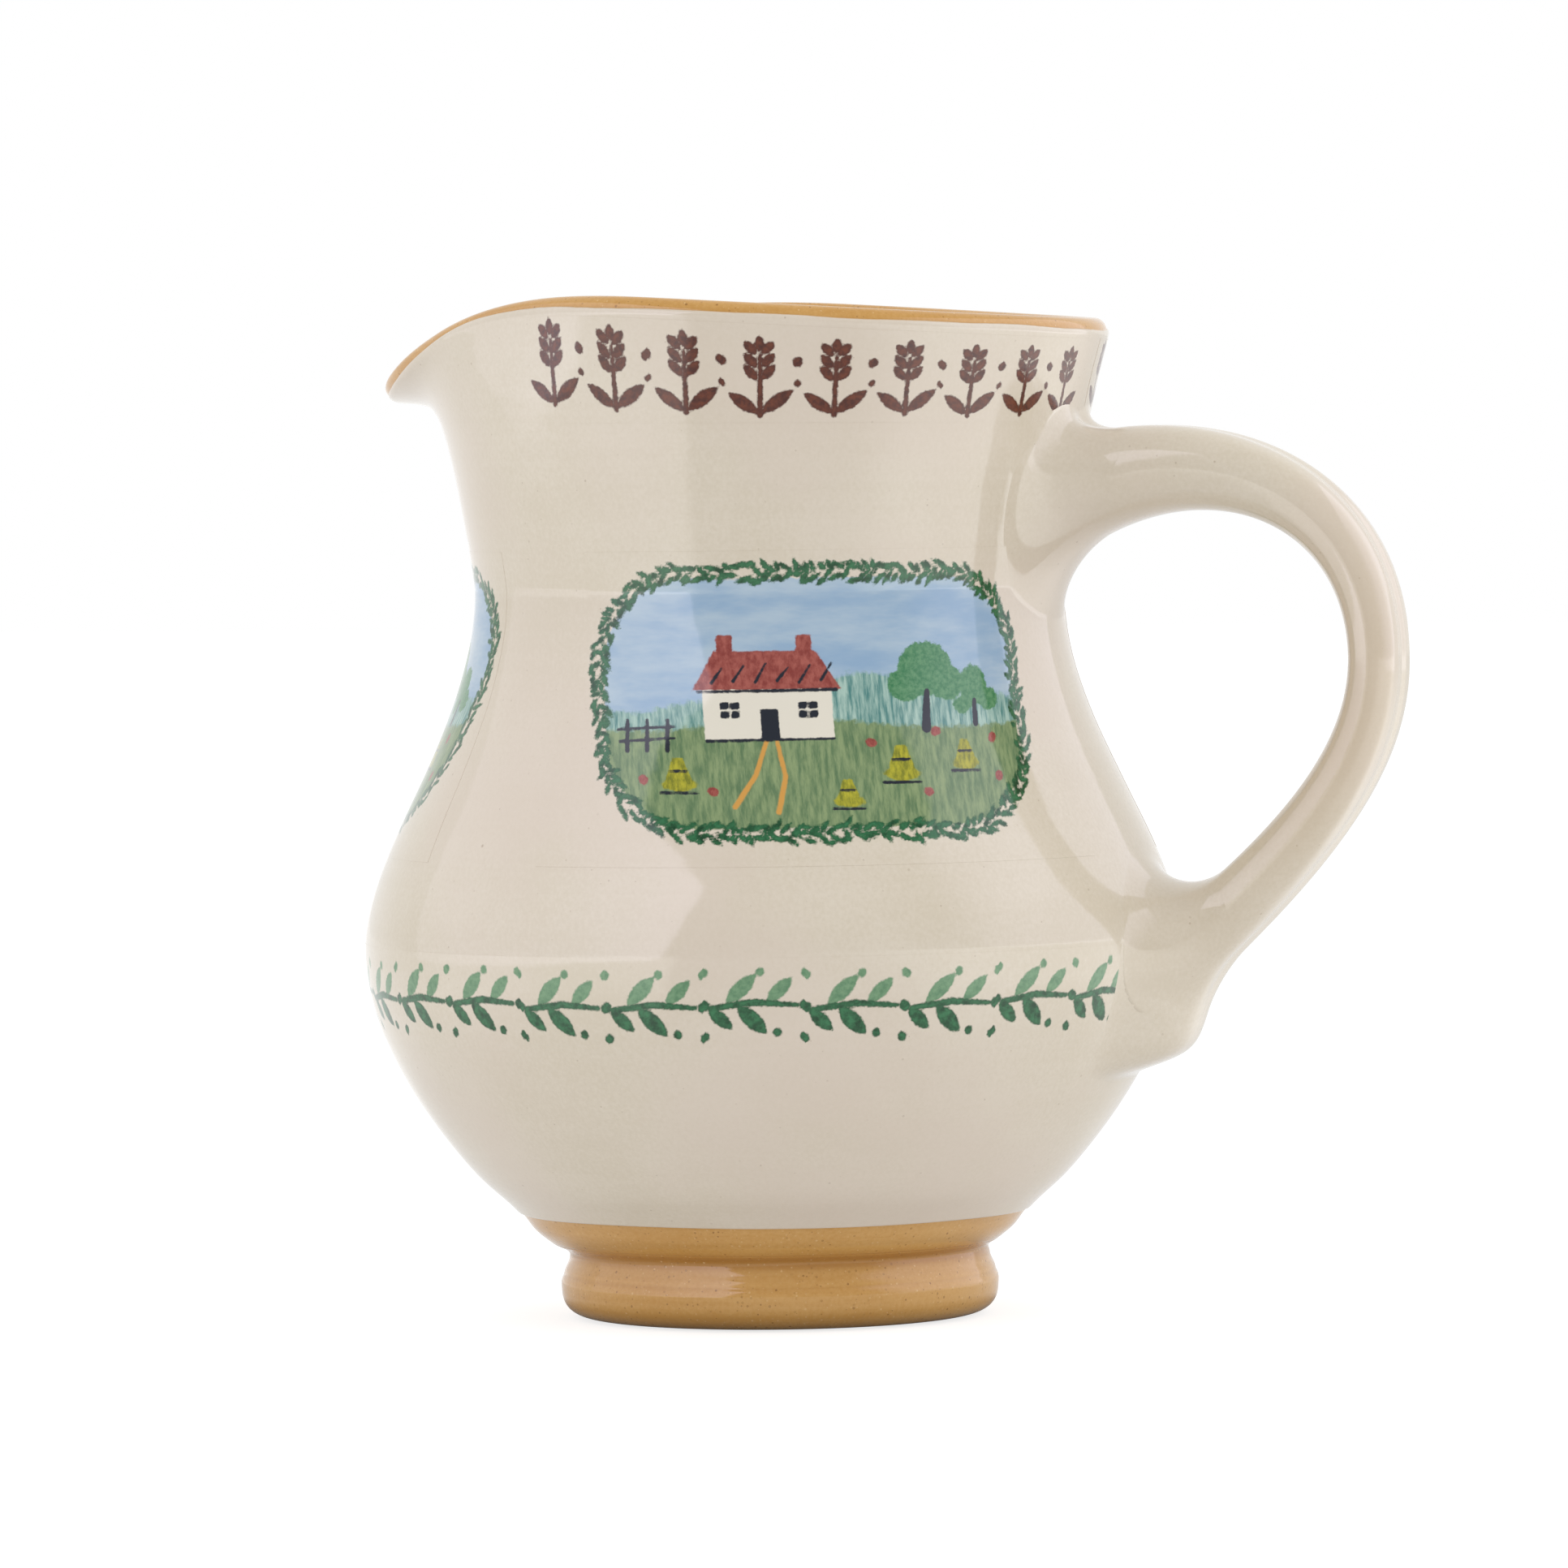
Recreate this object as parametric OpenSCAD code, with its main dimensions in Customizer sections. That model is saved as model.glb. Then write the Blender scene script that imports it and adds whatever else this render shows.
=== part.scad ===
// Earthenware jug with a pulled lip: clay wall, turned foot, two coats of slip and a strap handle.
// Millimetres. +Z is up, the lip points along -X and the handle along +X.
// The origin is the centre of the ring that the jug stands on.

/* [Body] */
// Diameter of the clay at its widest, on the belly
belly_d = 135.4; // [120:0.1:150]
// Height of the widest point above the table
belly_h = 63.4; // [56:0.1:70]
// How far the thrown body stands off the middle of its foot, towards the lip
body_shift = 0.5; // [0:0.1:1.5]
// How far the lower belly sags further towards the lip
belly_sag = 0.4; // [0:0.1:1.5]
// Diameter of the clay at the narrowest point of the neck
neck_d = 97.7; // [88:0.1:108]
// Diameter of the clay at the rim, away from the lip
rim_d = 113.8; // [104:0.1:124]
// Height of the outer edge of the rim, midway between lip and handle
rim_h = 166.6; // [158:0.1:180]
// How far below that edge the neck is narrowest
neck_drop = 44.8; // [38:0.1:52]
// How far the rim climbs from midway to the lip side, and falls to the handle side
rim_rise = 3.7; // [0:0.1:6]
// How far the rounded edge of the rim rises above its outer edge
rim_round = 2.5; // [1:0.1:4]
// Thickness of the clay wall
wall_t = 4.4; // [3:0.1:6]
// Thickness of the clay floor over the foot
floor_t = 4; // [3:0.1:7]
// Diameter that the belly draws in to, over the foot
base_d = 69.8; // [66:0.1:74]
// Radius of the tucked edge between the belly and the groove
base_round = 0.8; // [0.5:0.1:2]
// Diameter of the flat floor inside
floor_d = 56; // [44:0.1:62]

/* [Pouring lip] */
// How far the lip is pulled out past the round rim
lip_reach = 7; // [4:0.1:14]
// How far the edge of the lip hangs below the rim
lip_drop = 16.6; // [8:0.1:20]
// How far below the rim the neck begins to turn into the lip
lip_depth = 27.7; // [24:0.1:34]
// Half the angle over which the lip stands out, in degrees
lip_spread = 61.9; // [45:1:75]
// Half the angle over which the rim falls towards the lip, in degrees
lip_fall_spread = 102; // [70:1:110]
// How far the neck is pinched in on each side of the lip
lip_pinch = 1.8; // [0:0.1:2.4]

/* [Foot] */
// Diameter of the foot at its bead
foot_d = 73.8; // [71.5:0.1:76]
// Height of the foot, up to the groove under the body
foot_h = 10.4; // [9:0.1:14]
// Diameter of the groove between foot and body
groove_d = 70; // [64:0.1:70.8]
// Outer diameter of the flat ring that the jug stands on
standing_d = 61.8; // [60:0.1:68]
// Diameter of the turned recess under the foot
recess_d = 54; // [46:0.1:58]
// Depth of the turned recess
recess_h = 5.4; // [3:0.1:7]
// Height of the widest point of the bead
bead_h = 5.3; // [4:0.1:6]
// Height of the fine ridge above the bead
ridge_h = 7; // [6.4:0.1:8]
// Diameter of the fine ridge
ridge_d = 72.2; // [71:0.1:72.8]

/* [Handle] */
// How far the middle of the strap stands out past the belly
handle_out = 36.6; // [32:0.1:42]
// How far below the rim the strap leaves the neck
handle_root_drop = 32.9; // [29:0.1:40]
// How far the crown of the handle rises above its root
handle_crown_rise = 15.4; // [12:0.1:19]
// How far above the belly's widest point the strap stands out most
handle_bow_rise = 46; // [42:0.1:50]
// How far below the belly's widest point the strap ends in the tail
handle_heel_drop = 11.9; // [8:0.1:14]
// Thickness of the strap at its middle
strap_t = 8.7; // [7:0.1:10.5]
// Width of the strap at its middle
strap_w = 17.5; // [14:0.1:24]
// Extra thickness of the strap at its root
strap_root_t = 11; // [8:0.1:13]
// Extra width of the strap at its root
strap_root_w = 5; // [3:0.1:8]
// Extra thickness of the strap at its heel
strap_heel_t = 5; // [3:0.1:7]
// Depth of the thumb groove along the outside of the strap
thumb_groove = 0.6; // [0:0.1:1.2]

/* [Luted joints] */
// How far the clay smoothed round the root reaches along the strap
collar_l = 5; // [4:0.1:8]
// How far that clay spreads round the strap, on the neck
collar_spread = 4.2; // [3:0.1:5.5]
// Thickness of the tail pressed on the belly
tail_t = 8.6; // [7:0.1:10]
// Width of the tail
tail_w = 25; // [20:0.1:32]
// How far the tail runs above the belly's widest point
tail_above = 13.4; // [11:0.1:16]
// How far the tail runs below the belly's widest point
tail_below = 21.4; // [18:0.1:24]

/* [Slip] */
// Thickness of the pale slip, outside and inside
slip_t = 0.4; // [0.3:0.05:0.8]
// How far above the foot the outer coat of slip ends
slip_line_rise = 7.3; // [5:0.1:9]

/* [Hidden] */
$fn = 96;

clay_colour = [0.70, 0.50, 0.26];
slip_colour = [0.88, 0.84, 0.77];

belly_r = belly_d / 2;
neck_r = neck_d / 2;
rim_r = rim_d / 2;
neck_h = rim_h - neck_drop;
base_r = base_d / 2;
lip_root_h = rim_h - lip_depth;
floor_h = foot_h + floor_t;
slip_line_h = foot_h + slip_line_rise;
tuck_h = foot_h + base_round;
// Height of the deepest sag, as a share of the way from the foot to the widest point
sag_share = 0.4;
sag_h = foot_h + (belly_h - foot_h) * sag_share;
sag_spread = belly_h - foot_h;

// Number of steps in each stretch of the wall, upwards and round
base_steps = 3;
belly_steps = 7;
shoulder_steps = 8;
neck_steps = 2;
lip_steps = 8;
edge_steps = 6;
round_steps = 44;

// How much closer together the vertical sections stand at the lip than opposite it
lip_crowding_share = 0.45;
// How quickly the belly draws in, the shoulder turns, the neck flares, the lip juts and the rim falls
draw_in_power = 1.95;
shoulder_power = 0.87;
flare_power = 1.15;
reach_power = 2.3;
jut_power = 4.9;
fall_power = 2.4;
// Half the angle of each pinch beside the lip
pinch_spread = 26;
// Smallest step used to measure a slope
hair = 0.01;

// Falls smoothly from 1 at u = 0 to 0 at u = 1, and stays there
function fade(u) = abs(u) < 1 ? (1 + cos(180 * u)) / 2 : 0;
function steps(low, high, count) = [for (i = [0 : count]) low + (high - low) * i / count];
function tail_of(list) = [for (i = [1 : len(list) - 1]) list[i]];
function backwards(list) = [for (i = [len(list) - 1 : -1 : 0]) list[i]];

// Radius of the lower belly at height h, from the base to the widest point
function drawn_in_r(h) =
    belly_r - (belly_r - base_r) * pow((belly_h - h) / (belly_h - foot_h), draw_in_power);

// Radius of the outside of the clay at height h, away from the lip
function clay_r(h) =
    h < tuck_h ? drawn_in_r(h) - base_round + sqrt(max(0, base_round * base_round - pow(tuck_h - h, 2)))
    : h < belly_h ? drawn_in_r(h)
    : h < neck_h
        ? neck_r + (belly_r - neck_r) * fade(pow((h - belly_h) / (neck_h - belly_h), shoulder_power))
    : neck_r + (rim_r - neck_r) * pow((h - neck_h) / (rim_h - neck_h), flare_power);

// How far the middle of the wall lies along X at height h
function middle_x(h) = -body_shift - belly_sag * fade((h - sag_h) / sag_spread);

function clay_slope(h) = (clay_r(h + hair) - clay_r(h - hair)) / (2 * hair);

// Height of the rim's outer edge at d degrees from the lip
function edge_h(d) = rim_h + rim_rise * cos(d) - lip_drop * pow(fade(d / lip_fall_spread), fall_power);

// Radius and height of the outside of the clay, d degrees from the lip, where the plain wall has height h
function clay_section(d, h) =
    let (t = max(0, (h - lip_root_h) / lip_depth))
    [
        clay_r(h) + lip_reach * pow(fade(d / lip_spread), reach_power) * pow(t, jut_power)
            - lip_pinch * fade((d - lip_spread) / pinch_spread) * t * t,
        h + (edge_h(d) - rim_h) * t * t
    ];

function from_lip(angle) = angle <= 180 ? angle : 360 - angle;
function clay_point(angle, h) =
    let (p = clay_section(from_lip(angle), h)) [middle_x(h) - p[0] * cos(angle), -p[0] * sin(angle), p[1]];
function clay_way_up(angle, h) = (clay_point(angle, h + hair) - clay_point(angle, h - hair)) / hair;
function clay_normal(angle, h) =
    let (n = cross(clay_point(angle + hair, h) - clay_point(angle - hair, h), clay_way_up(angle, h)))
    n / norm(n);

// Angle from the lip of vertical section i, from 0 to 360
function section_angle(i) =
    let (q = 360 * i / round_steps) q - lip_crowding_share * sin(q) * 180 / PI;
section_angles = [for (i = [0 : round_steps - 1]) section_angle(i)];

// A ring of points at a depth under the outer face
function wall_ring(h, depth) = [for (a = section_angles) clay_point(a, h) - clay_normal(a, h) * depth];

// A ring of points on the rounded edge of the rim, at turn from 0 outside to 180 inside
function edge_ring(turn) = [
    for (a = section_angles)
        let (n = clay_normal(a, rim_h), up = clay_way_up(a, rim_h), u = up - n * (up * n))
        clay_point(a, rim_h) + n * wall_t / 2 * (cos(turn) - 1) + u / norm(u) * rim_round * sin(turn)
];

// A level ring of points
function level_ring(r, h) = [for (a = section_angles) [middle_x(h) - r * cos(a), -r * sin(a), h]];

// Heights of the rings from the belly to the rim
upper_heights = concat(
    steps(belly_h, neck_h, shoulder_steps),
    tail_of(steps(neck_h, lip_root_h, neck_steps)),
    tail_of(steps(lip_root_h, rim_h, lip_steps))
);

// Rings up the tucked base of the clay, from the foot to the lower edge of the slip
function base_rings() = [
    for (h = concat(steps(foot_h, tuck_h, base_steps), [(tuck_h + slip_line_h) / 2]))
        level_ring(clay_r(h), h)
];

// Rings from the lower edge of the slip up the outside, at a depth under the clay's outer face
function outer_rings(depth) = [
    for (h = concat(steps(slip_line_h, belly_h, belly_steps), tail_of(upper_heights))) wall_ring(h, depth)
];

// Rings up the inside, from the edge of the floor, at a depth under the clay's outer face
function inner_rings(depth) =
    let (r_high = belly_r - depth, low = floor_h + depth - wall_t, r_low = floor_d / 2 - depth + wall_t)
    concat(
        [for (h = steps(low, belly_h, belly_steps))
            level_ring(r_high - (r_high - r_low) * pow((belly_h - h) / (belly_h - low), draw_in_power), h)],
        [for (h = tail_of(upper_heights)) wall_ring(h, depth)]
    );

// Two triangles for each cell between ring j and ring k
function band(j, k, n) = [
    for (i = [0 : n - 1])
        let (a = j * n + i, b = j * n + (i + 1) % n, c = k * n + (i + 1) % n, d = k * n + i)
        each [[a, d, c], [a, c, b]]
];

// A closed solid through rings of points, the last ring joined to the first
module ring_shell(rings) {
    m = len(rings);
    faces = [for (j = [0 : m - 1]) each band(j, (j + 1) % m, len(rings[0]))];
    polyhedron([for (ring = rings) each ring], faces);
}

// A closed solid through rings of points, with flat ends
module ring_tube(rings) {
    n = len(rings[0]);
    m = len(rings);
    ends = [[for (i = [0 : n - 1]) i], [for (i = [n - 1 : -1 : 0]) (m - 1) * n + i]];
    sides = [for (j = [0 : m - 2]) each band(j, j + 1, n)];
    polyhedron([for (ring = rings) each ring], concat(ends, sides));
}

// Everything inside the outer face of the clay
module jug_envelope() {
    ring_tube(concat(base_rings(), outer_rings(0)));
}

// Turned foot with its bead, fine ridge, cove and recess
module foot_ring() {
    foot_r = foot_d / 2;
    standing_r = standing_d / 2;
    groove_r = groove_d / 2;
    ridge_r = ridge_d / 2;
    bead = [
        for (a = [0 : 10 : 90]) [standing_r + (foot_r - standing_r) * sin(a), bead_h * (1 - cos(a))]
    ];
    cove = [
        for (a = [0 : 15 : 90])
            [groove_r + (ridge_r - groove_r) * (1 - sin(a)), foot_h - (foot_h - ridge_h) * cos(a)]
    ];
    color(clay_colour)
    rotate_extrude()
    polygon(concat(
        bead, cove,
        [[0, foot_h], [0, recess_h], [recess_d / 2, recess_h], [recess_d / 2, 0]]
    ));
}

// Thrown wall and floor with the pulled lip, in one piece
module clay_body() {
    color(clay_colour)
    ring_tube(concat(
        base_rings(),
        outer_rings(0),
        [for (k = [1 : edge_steps - 1]) edge_ring(180 * k / edge_steps)],
        backwards(inner_rings(wall_t))
    ));
}

// Pale slip over the outside, from above the foot to the rounded rim, left open where the handle is luted
module outer_slip_coat() {
    color(slip_colour)
    difference() {
        ring_shell(concat(outer_rings(-slip_t), backwards(outer_rings(0))));
        strap_solid();
        collar_solid();
        tail_solid();
    }
}

// Pale slip over the inside, from the floor to the rounded rim
module inner_slip_lining() {
    color(slip_colour)
    ring_tube(concat(inner_rings(wall_t), backwards(inner_rings(wall_t + slip_t))));
}

// The strap's middle line is one curve from the root to the bow, and one from the bow to the heel.
// Each share says how far along its span a control point of the curve lies.
root_out_share = 0.43;
crown_fall_share = 0.4;
bow_down_share = 0.38;
heel_out_share = 0.5;
heel_up_share = 0.33;
root_h = rim_h - handle_root_drop;
bow_h = belly_h + handle_bow_rise;
heel_h = belly_h - handle_heel_drop;
reach_r = belly_r + handle_out;
root_r = middle_x(root_h) + clay_r(root_h) - wall_t;
heel_r = middle_x(heel_h) + clay_r(heel_h) - wall_t;
upper_curve = [
    [root_r, root_h],
    [root_r + root_out_share * (reach_r - root_r), root_h + handle_crown_rise],
    [reach_r, root_h + crown_fall_share * handle_crown_rise],
    [reach_r, bow_h]
];
lower_curve = [
    [reach_r, bow_h],
    [reach_r, bow_h - bow_down_share * (bow_h - heel_h)],
    [heel_r + heel_out_share * (reach_r - heel_r), heel_h + heel_up_share * (bow_h - heel_h)],
    [heel_r, heel_h]
];

function bezier(p, t) =
    pow(1 - t, 3) * p[0] + 3 * t * pow(1 - t, 2) * p[1] + 3 * t * t * (1 - t) * p[2] + pow(t, 3) * p[3];
function bezier_way(p, t) =
    let (v = pow(1 - t, 2) * (p[1] - p[0]) + 2 * t * (1 - t) * (p[2] - p[1]) + t * t * (p[3] - p[2]))
    v / norm(v);

// For s from 0 at the root to 1 at the heel
function strap_middle(s) = s < 0.5 ? bezier(upper_curve, 2 * s) : bezier(lower_curve, 2 * s - 1);
function strap_way(s) = s < 0.5 ? bezier_way(upper_curve, 2 * s) : bezier_way(lower_curve, 2 * s - 1);

// How quickly the strap thickens to its root and to its heel
root_power = 1.6;
heel_power = 1.5;
function root_growth(s) = pow(max(0, 1 - 2 * s), root_power);
function heel_growth(s) = pow(max(0, 2 * s - 1), heel_power);
function strap_thickness(s) = strap_t + strap_root_t * root_growth(s) + strap_heel_t * heel_growth(s);
function strap_width(s) = strap_w + strap_root_w * root_growth(s);

strap_steps = 30;
strap_sides = 20;
// Roundness of the strap's section: 2 is an ellipse, and more is squarer
squareness = 2.6;
// How narrow the thumb groove is
groove_power = 8;

function squared(x) = sign(x) * pow(abs(x), 2 / squareness);

// One ring round a middle point in the XZ plane: half sizes a across the curve and b along Y
function ring_at(middle, way, a, b, groove) = [
    for (k = [0 : strap_sides - 1])
        let (
            phi = 360 * k / strap_sides,
            out = a * squared(cos(phi)) - groove * pow(max(0, cos(phi)), groove_power)
        )
        [middle[0] - way[1] * out, -b * squared(sin(phi)), middle[1] + way[0] * out]
];

module strap_solid() {
    ring_tube([
        for (s = steps(0, 1, strap_steps))
            ring_at(strap_middle(s), strap_way(s), strap_thickness(s) / 2, strap_width(s) / 2, thumb_groove)
    ]);
}

// Pulled strap, cut to the neck and the belly
module handle() {
    color(slip_colour)
    difference() {
        strap_solid();
        jug_envelope();
    }
}

collar_steps = 6;
// How quickly the collar thins away along the strap
collar_power = 3;
// Least thickness of the collar where it feathers out on the strap
feather_t = 0.25;

// Rings round the strap, side by side with the face of the neck, from inside the wall to the feathered edge
module collar_solid() {
    face_way = [1, -clay_slope(root_h)] / norm([1, clay_slope(root_h)]);
    // How fast the strap's middle line leaves the root, in length along X for s from 0 to 1
    run = 6 * (upper_curve[1][0] - root_r);
    full_l = wall_t + collar_spread / 2;
    ring_tube([
        for (u = concat([-full_l / collar_l], steps(0, 1, collar_steps)))
            let (
                s = (full_l + u * collar_l) / run,
                extra = feather_t + collar_spread * pow(1 - max(0, u), collar_power)
            )
            ring_at(strap_middle(s), face_way, strap_thickness(s) / 2 / (strap_way(s) * face_way) + extra,
                strap_width(s) / 2 + extra, 0)
    ]);
}

// Clay smoothed round the root of the strap
module handle_collar() {
    color(slip_colour)
    difference() {
        collar_solid();
        strap_solid();
        jug_envelope();
    }
}

tail_steps = 12;
// How square the tail's outline is, how near its flat ends come to its tips, and how thin it is at its top
tail_power = 2.6;
tail_end_share = 0.02;
tail_top_share = 0.45;
tail_full_share = 0.62;

// Rings across the tail, from its top to its lower end
module tail_solid() {
    low = belly_h - tail_below;
    high = belly_h + tail_above;
    ring_tube([
        for (u = steps(tail_end_share, 1 - tail_end_share, tail_steps))
            let (
                h = high + (low - high) * u,
                way = -[clay_slope(h), 1],
                swell = sqrt(1 - pow(abs(2 * u - 1), tail_power)),
                fullness = tail_top_share + (1 - tail_top_share) * min(1, u / tail_full_share),
                depth = tail_t * swell * fullness
            )
            ring_at([middle_x(h) + clay_r(h), h], way / norm(way), depth, tail_w / 2 * swell, 0)
    ]);
}

// Tail pressed on the belly round the heel of the strap
module handle_tail() {
    color(slip_colour)
    difference() {
        tail_solid();
        strap_solid();
        jug_envelope();
    }
}

foot_ring();
clay_body();
outer_slip_coat();
inner_slip_lining();
handle();
handle_collar();
handle_tail();
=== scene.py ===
import math
from functools import reduce

import bpy
import numpy as np
from mathutils import Matrix, Vector


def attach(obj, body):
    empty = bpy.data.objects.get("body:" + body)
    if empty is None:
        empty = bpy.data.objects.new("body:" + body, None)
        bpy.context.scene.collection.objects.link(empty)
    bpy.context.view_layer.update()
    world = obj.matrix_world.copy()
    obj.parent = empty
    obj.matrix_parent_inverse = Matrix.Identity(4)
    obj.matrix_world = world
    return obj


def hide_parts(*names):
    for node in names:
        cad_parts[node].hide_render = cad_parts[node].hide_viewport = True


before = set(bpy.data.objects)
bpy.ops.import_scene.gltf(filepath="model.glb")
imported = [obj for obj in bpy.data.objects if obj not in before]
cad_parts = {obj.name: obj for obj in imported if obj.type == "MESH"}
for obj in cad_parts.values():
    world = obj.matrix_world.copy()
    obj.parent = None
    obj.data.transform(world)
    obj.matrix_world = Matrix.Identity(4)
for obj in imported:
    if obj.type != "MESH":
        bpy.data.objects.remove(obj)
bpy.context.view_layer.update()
scene = bpy.context.scene
print("Frame loaded:", len(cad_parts), "CAD nodes")

# Lengths are in millimetres until a mesh is made, angles in degrees.
# An angle round the pot is counted from the lip, over the front, to the handle at 180.
mm = 0.001
join = np.concatenate


def paint(red, green, blue):
    # a colour as it is seen on a screen, turned into light: ((c + 0.055) / 1.055) to the power 2.4
    seen = np.array([red, green, blue]) / 255
    light = np.where(seen > 0.04045, ((seen + 0.055) / 1.055) ** 2.4, seen / 12.92)
    return (*(float(c) for c in light), 1.0)


# The thrown wall

pot = {
    "bellyRadius": 67.7, "bellyHeight": 63.4, "shift": 0.5, "sag": 0.4, "sagHeight": 31.6, "sagSpread": 53.0,
    "neckRadius": 48.85, "neckHeight": 121.8, "rimRadius": 56.9, "rimHeight": 166.6, "rimRise": 3.7,
    "rimRound": 2.5, "rimBend": 2.35, "wall": 4.4, "baseRadius": 34.9, "baseHeight": 10.4, "baseRound": 0.8,
    "floorHeight": 14.4, "floorRadius": 28.0, "drawIn": 1.95, "shoulder": 0.87, "flare": 1.15,
    # the strength, height and spread of the painted shade under the wall, with glaze pooling, come after the
    # hollow
    "ripple": 0.035, "hollow": 0.1925, "poolAndShade": 0.62, "poolHeight": 11.4, "poolSpread": 3.0, "columns": 360,
}
# the slip: its upper edge is counted from the wall's end, over the rim, and climbs at the lip; the waves of
# its edges have a size, a number round the pot and a start
slip = {
    "thick": 0.4, "sunk": 0.25, "line": 17.7, "top": 1.25, "climb": 0.25, "climbSpread": 75.0, "rows": 150,
    "lowWaves": ((0.1, 2, 0.4), (0.06, 5, 1.0)),
    "topWaves": ((0.13, 3, 0.7), (0.09, 7, 2.0), (0.06, 17, 0.0)),
}
lip = {
    "reach": 7.0, "drop": 16.6, "depth": 27.7, "spread": 61.9, "fallSpread": 102.0, "pinch": 1.8,
    "pinchSpread": 26.0, "reachPower": 2.3, "jutPower": 4.9, "fallPower": 2.4, "crowding": 0.45,
    "thin": 0.42, "thinSpread": 75.0,
}
lipRoot = pot["rimHeight"] - lip["depth"]
# the turned bevel over the foot, and the hollow above and below it: push outwards, height, spread
turnings = ((-0.75, 18.9, 3.2), (0.35, 14.6, 1.6), (-0.5, 11.3, 0.9))
# the throwing marks: height of a radian, turns round the pot, start, size
throwing = ((1.9, 1, 0.0, 0.35), (4.1, -1, 1.0, 0.8), (8.3, 2, 0.0, 1.4))


def above(u):
    # the value where it is more than 0, else 0
    return np.clip(u, 0, None)


def fade(u):
    # half a cosine wave: 1 where u is 0, falling to 0 where u is 1, and 0 beyond
    return np.where(np.abs(u) < 1, (1 + np.cos(np.pi * np.clip(u, -1, 1))) / 2, 0.0)


def fromLip(angle):
    # the angle from the lip, either way round
    return np.abs((angle + 180) % 360 - 180)


def lipClimb(h):
    # how far a height is from the lip's root up to the rim, as a share
    return above(h - lipRoot) / lip["depth"]


def grids(*values):
    # the values as grids of one shape
    return np.broadcast_arrays(*(np.asarray(v, float) for v in values))


def together(*parts):
    # numbers side by side, as the coordinates of points
    return np.stack(parts, -1)


def circle(middle, r, angle, z):
    # a point at a radius from a middle line: the lip lies at the negative end of X
    a = np.radians(angle)
    return together(middle - r * np.cos(a), -r * np.sin(a), z + 0 * a)


def levels(*spans):
    # a column of heights or shares, from spans that each have a start, an end and a count
    return join([np.linspace(*span) for span in spans])[:, None]


def bell(u, middle, spread):
    # a bell curve: e to the power of minus the squared distance from the middle, in spreads
    return np.exp(-((u - middle) / spread) ** 2)


def ripple(angle, h):
    # throwing marks: sine waves in height, each climbing round the pot
    a = np.radians(angle)
    waves = sum(size * np.sin(h / period + turns * a + start) for period, turns, start, size in throwing)
    # broad hollows left by the hands, sines of the angle and height, that fade out at the handle
    hollows = np.sin(5 * a + h / 13) * np.sin(3 * a - h / 17 + 2.0) * (1 - fade((angle % 360 - 180) / 60))
    return pot["ripple"] * waves + pot["hollow"] * hollows


def plainRadius(h):
    # below the belly the radius draws in by a power of the drop, above it falls by half a cosine wave
    # to the neck, and from the neck it flares by a power of the height; the base is tucked in by an arc,
    # and bell curves push the part over the foot in and out
    fall = above(pot["bellyHeight"] - h) / (pot["bellyHeight"] - pot["baseHeight"])
    low = pot["bellyRadius"] - (pot["bellyRadius"] - pot["baseRadius"]) * fall ** pot["drawIn"]
    tuck = np.clip(pot["baseHeight"] + pot["baseRound"] - h, 0, pot["baseRound"])
    low = low - pot["baseRound"] + np.sqrt(pot["baseRound"] ** 2 - tuck ** 2)
    low = low + sum(push * bell(h, height, spread) for push, height, spread in turnings)
    climb = above(h - pot["bellyHeight"]) / (pot["neckHeight"] - pot["bellyHeight"])
    middle = pot["neckRadius"] + (pot["bellyRadius"] - pot["neckRadius"]) * fade(climb ** pot["shoulder"])
    flare = above(h - pot["neckHeight"]) / (pot["rimHeight"] - pot["neckHeight"])
    high = pot["neckRadius"] + (pot["rimRadius"] - pot["neckRadius"]) * flare ** pot["flare"]
    return np.where(h < pot["bellyHeight"], low, np.where(h < pot["neckHeight"], middle, high))


def middleX(h):
    # the pot stands a little off the middle of its foot, and its lower belly sags a little more
    return -pot["shift"] - pot["sag"] * fade((h - pot["sagHeight"]) / pot["sagSpread"])


def wallPoint(angle, h):
    # a circle of the plain radius, pushed out at the lip and pinched beside it by powers of the height
    # above the lip's root, its height moved by the tilt of the rim and the fall towards the lip
    angle, h = grids(angle, h)
    away, climb = fromLip(angle), lipClimb(h)
    r = plainRadius(h) + ripple(angle, h)
    r = r + lip["reach"] * fade(away / lip["spread"]) ** lip["reachPower"] * climb ** lip["jutPower"]
    r = r - lip["pinch"] * fade((away - lip["spread"]) / lip["pinchSpread"]) * climb ** 2
    edge = pot["rimRise"] * np.cos(np.radians(away))
    edge = edge - lip["drop"] * fade(away / lip["fallSpread"]) ** lip["fallPower"]
    return circle(middleX(h), r, angle, h + edge * climb ** 2)


def unit(v):
    # the same way with length 1: the vector over its length
    return v / np.maximum(np.linalg.norm(v, axis=-1, keepdims=True), 1e-12)


def wallWays(angle, h):
    # the outward normal and the way up, from the differences of neighbouring points
    hair = 0.01
    up = wallPoint(angle, h + hair) - wallPoint(angle, h - hair)
    n = unit(np.cross(wallPoint(angle + hair, h) - wallPoint(angle - hair, h), up))
    return n, unit(up - n * (up * n).sum(-1, keepdims=True))


def wallAt(angle, h, lift):
    # a point of the wall moved along its normal
    angle, h = grids(angle, h)
    return wallPoint(angle, h) + wallWays(angle, h)[0] * np.asarray(lift, float)[..., None]


def lipThin(angle, climb):
    # the wall's share that is left where it thins towards the lip's edge
    return 1 - lip["thin"] * fade(fromLip(angle) / lip["thinSpread"]) * climb ** 2


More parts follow.
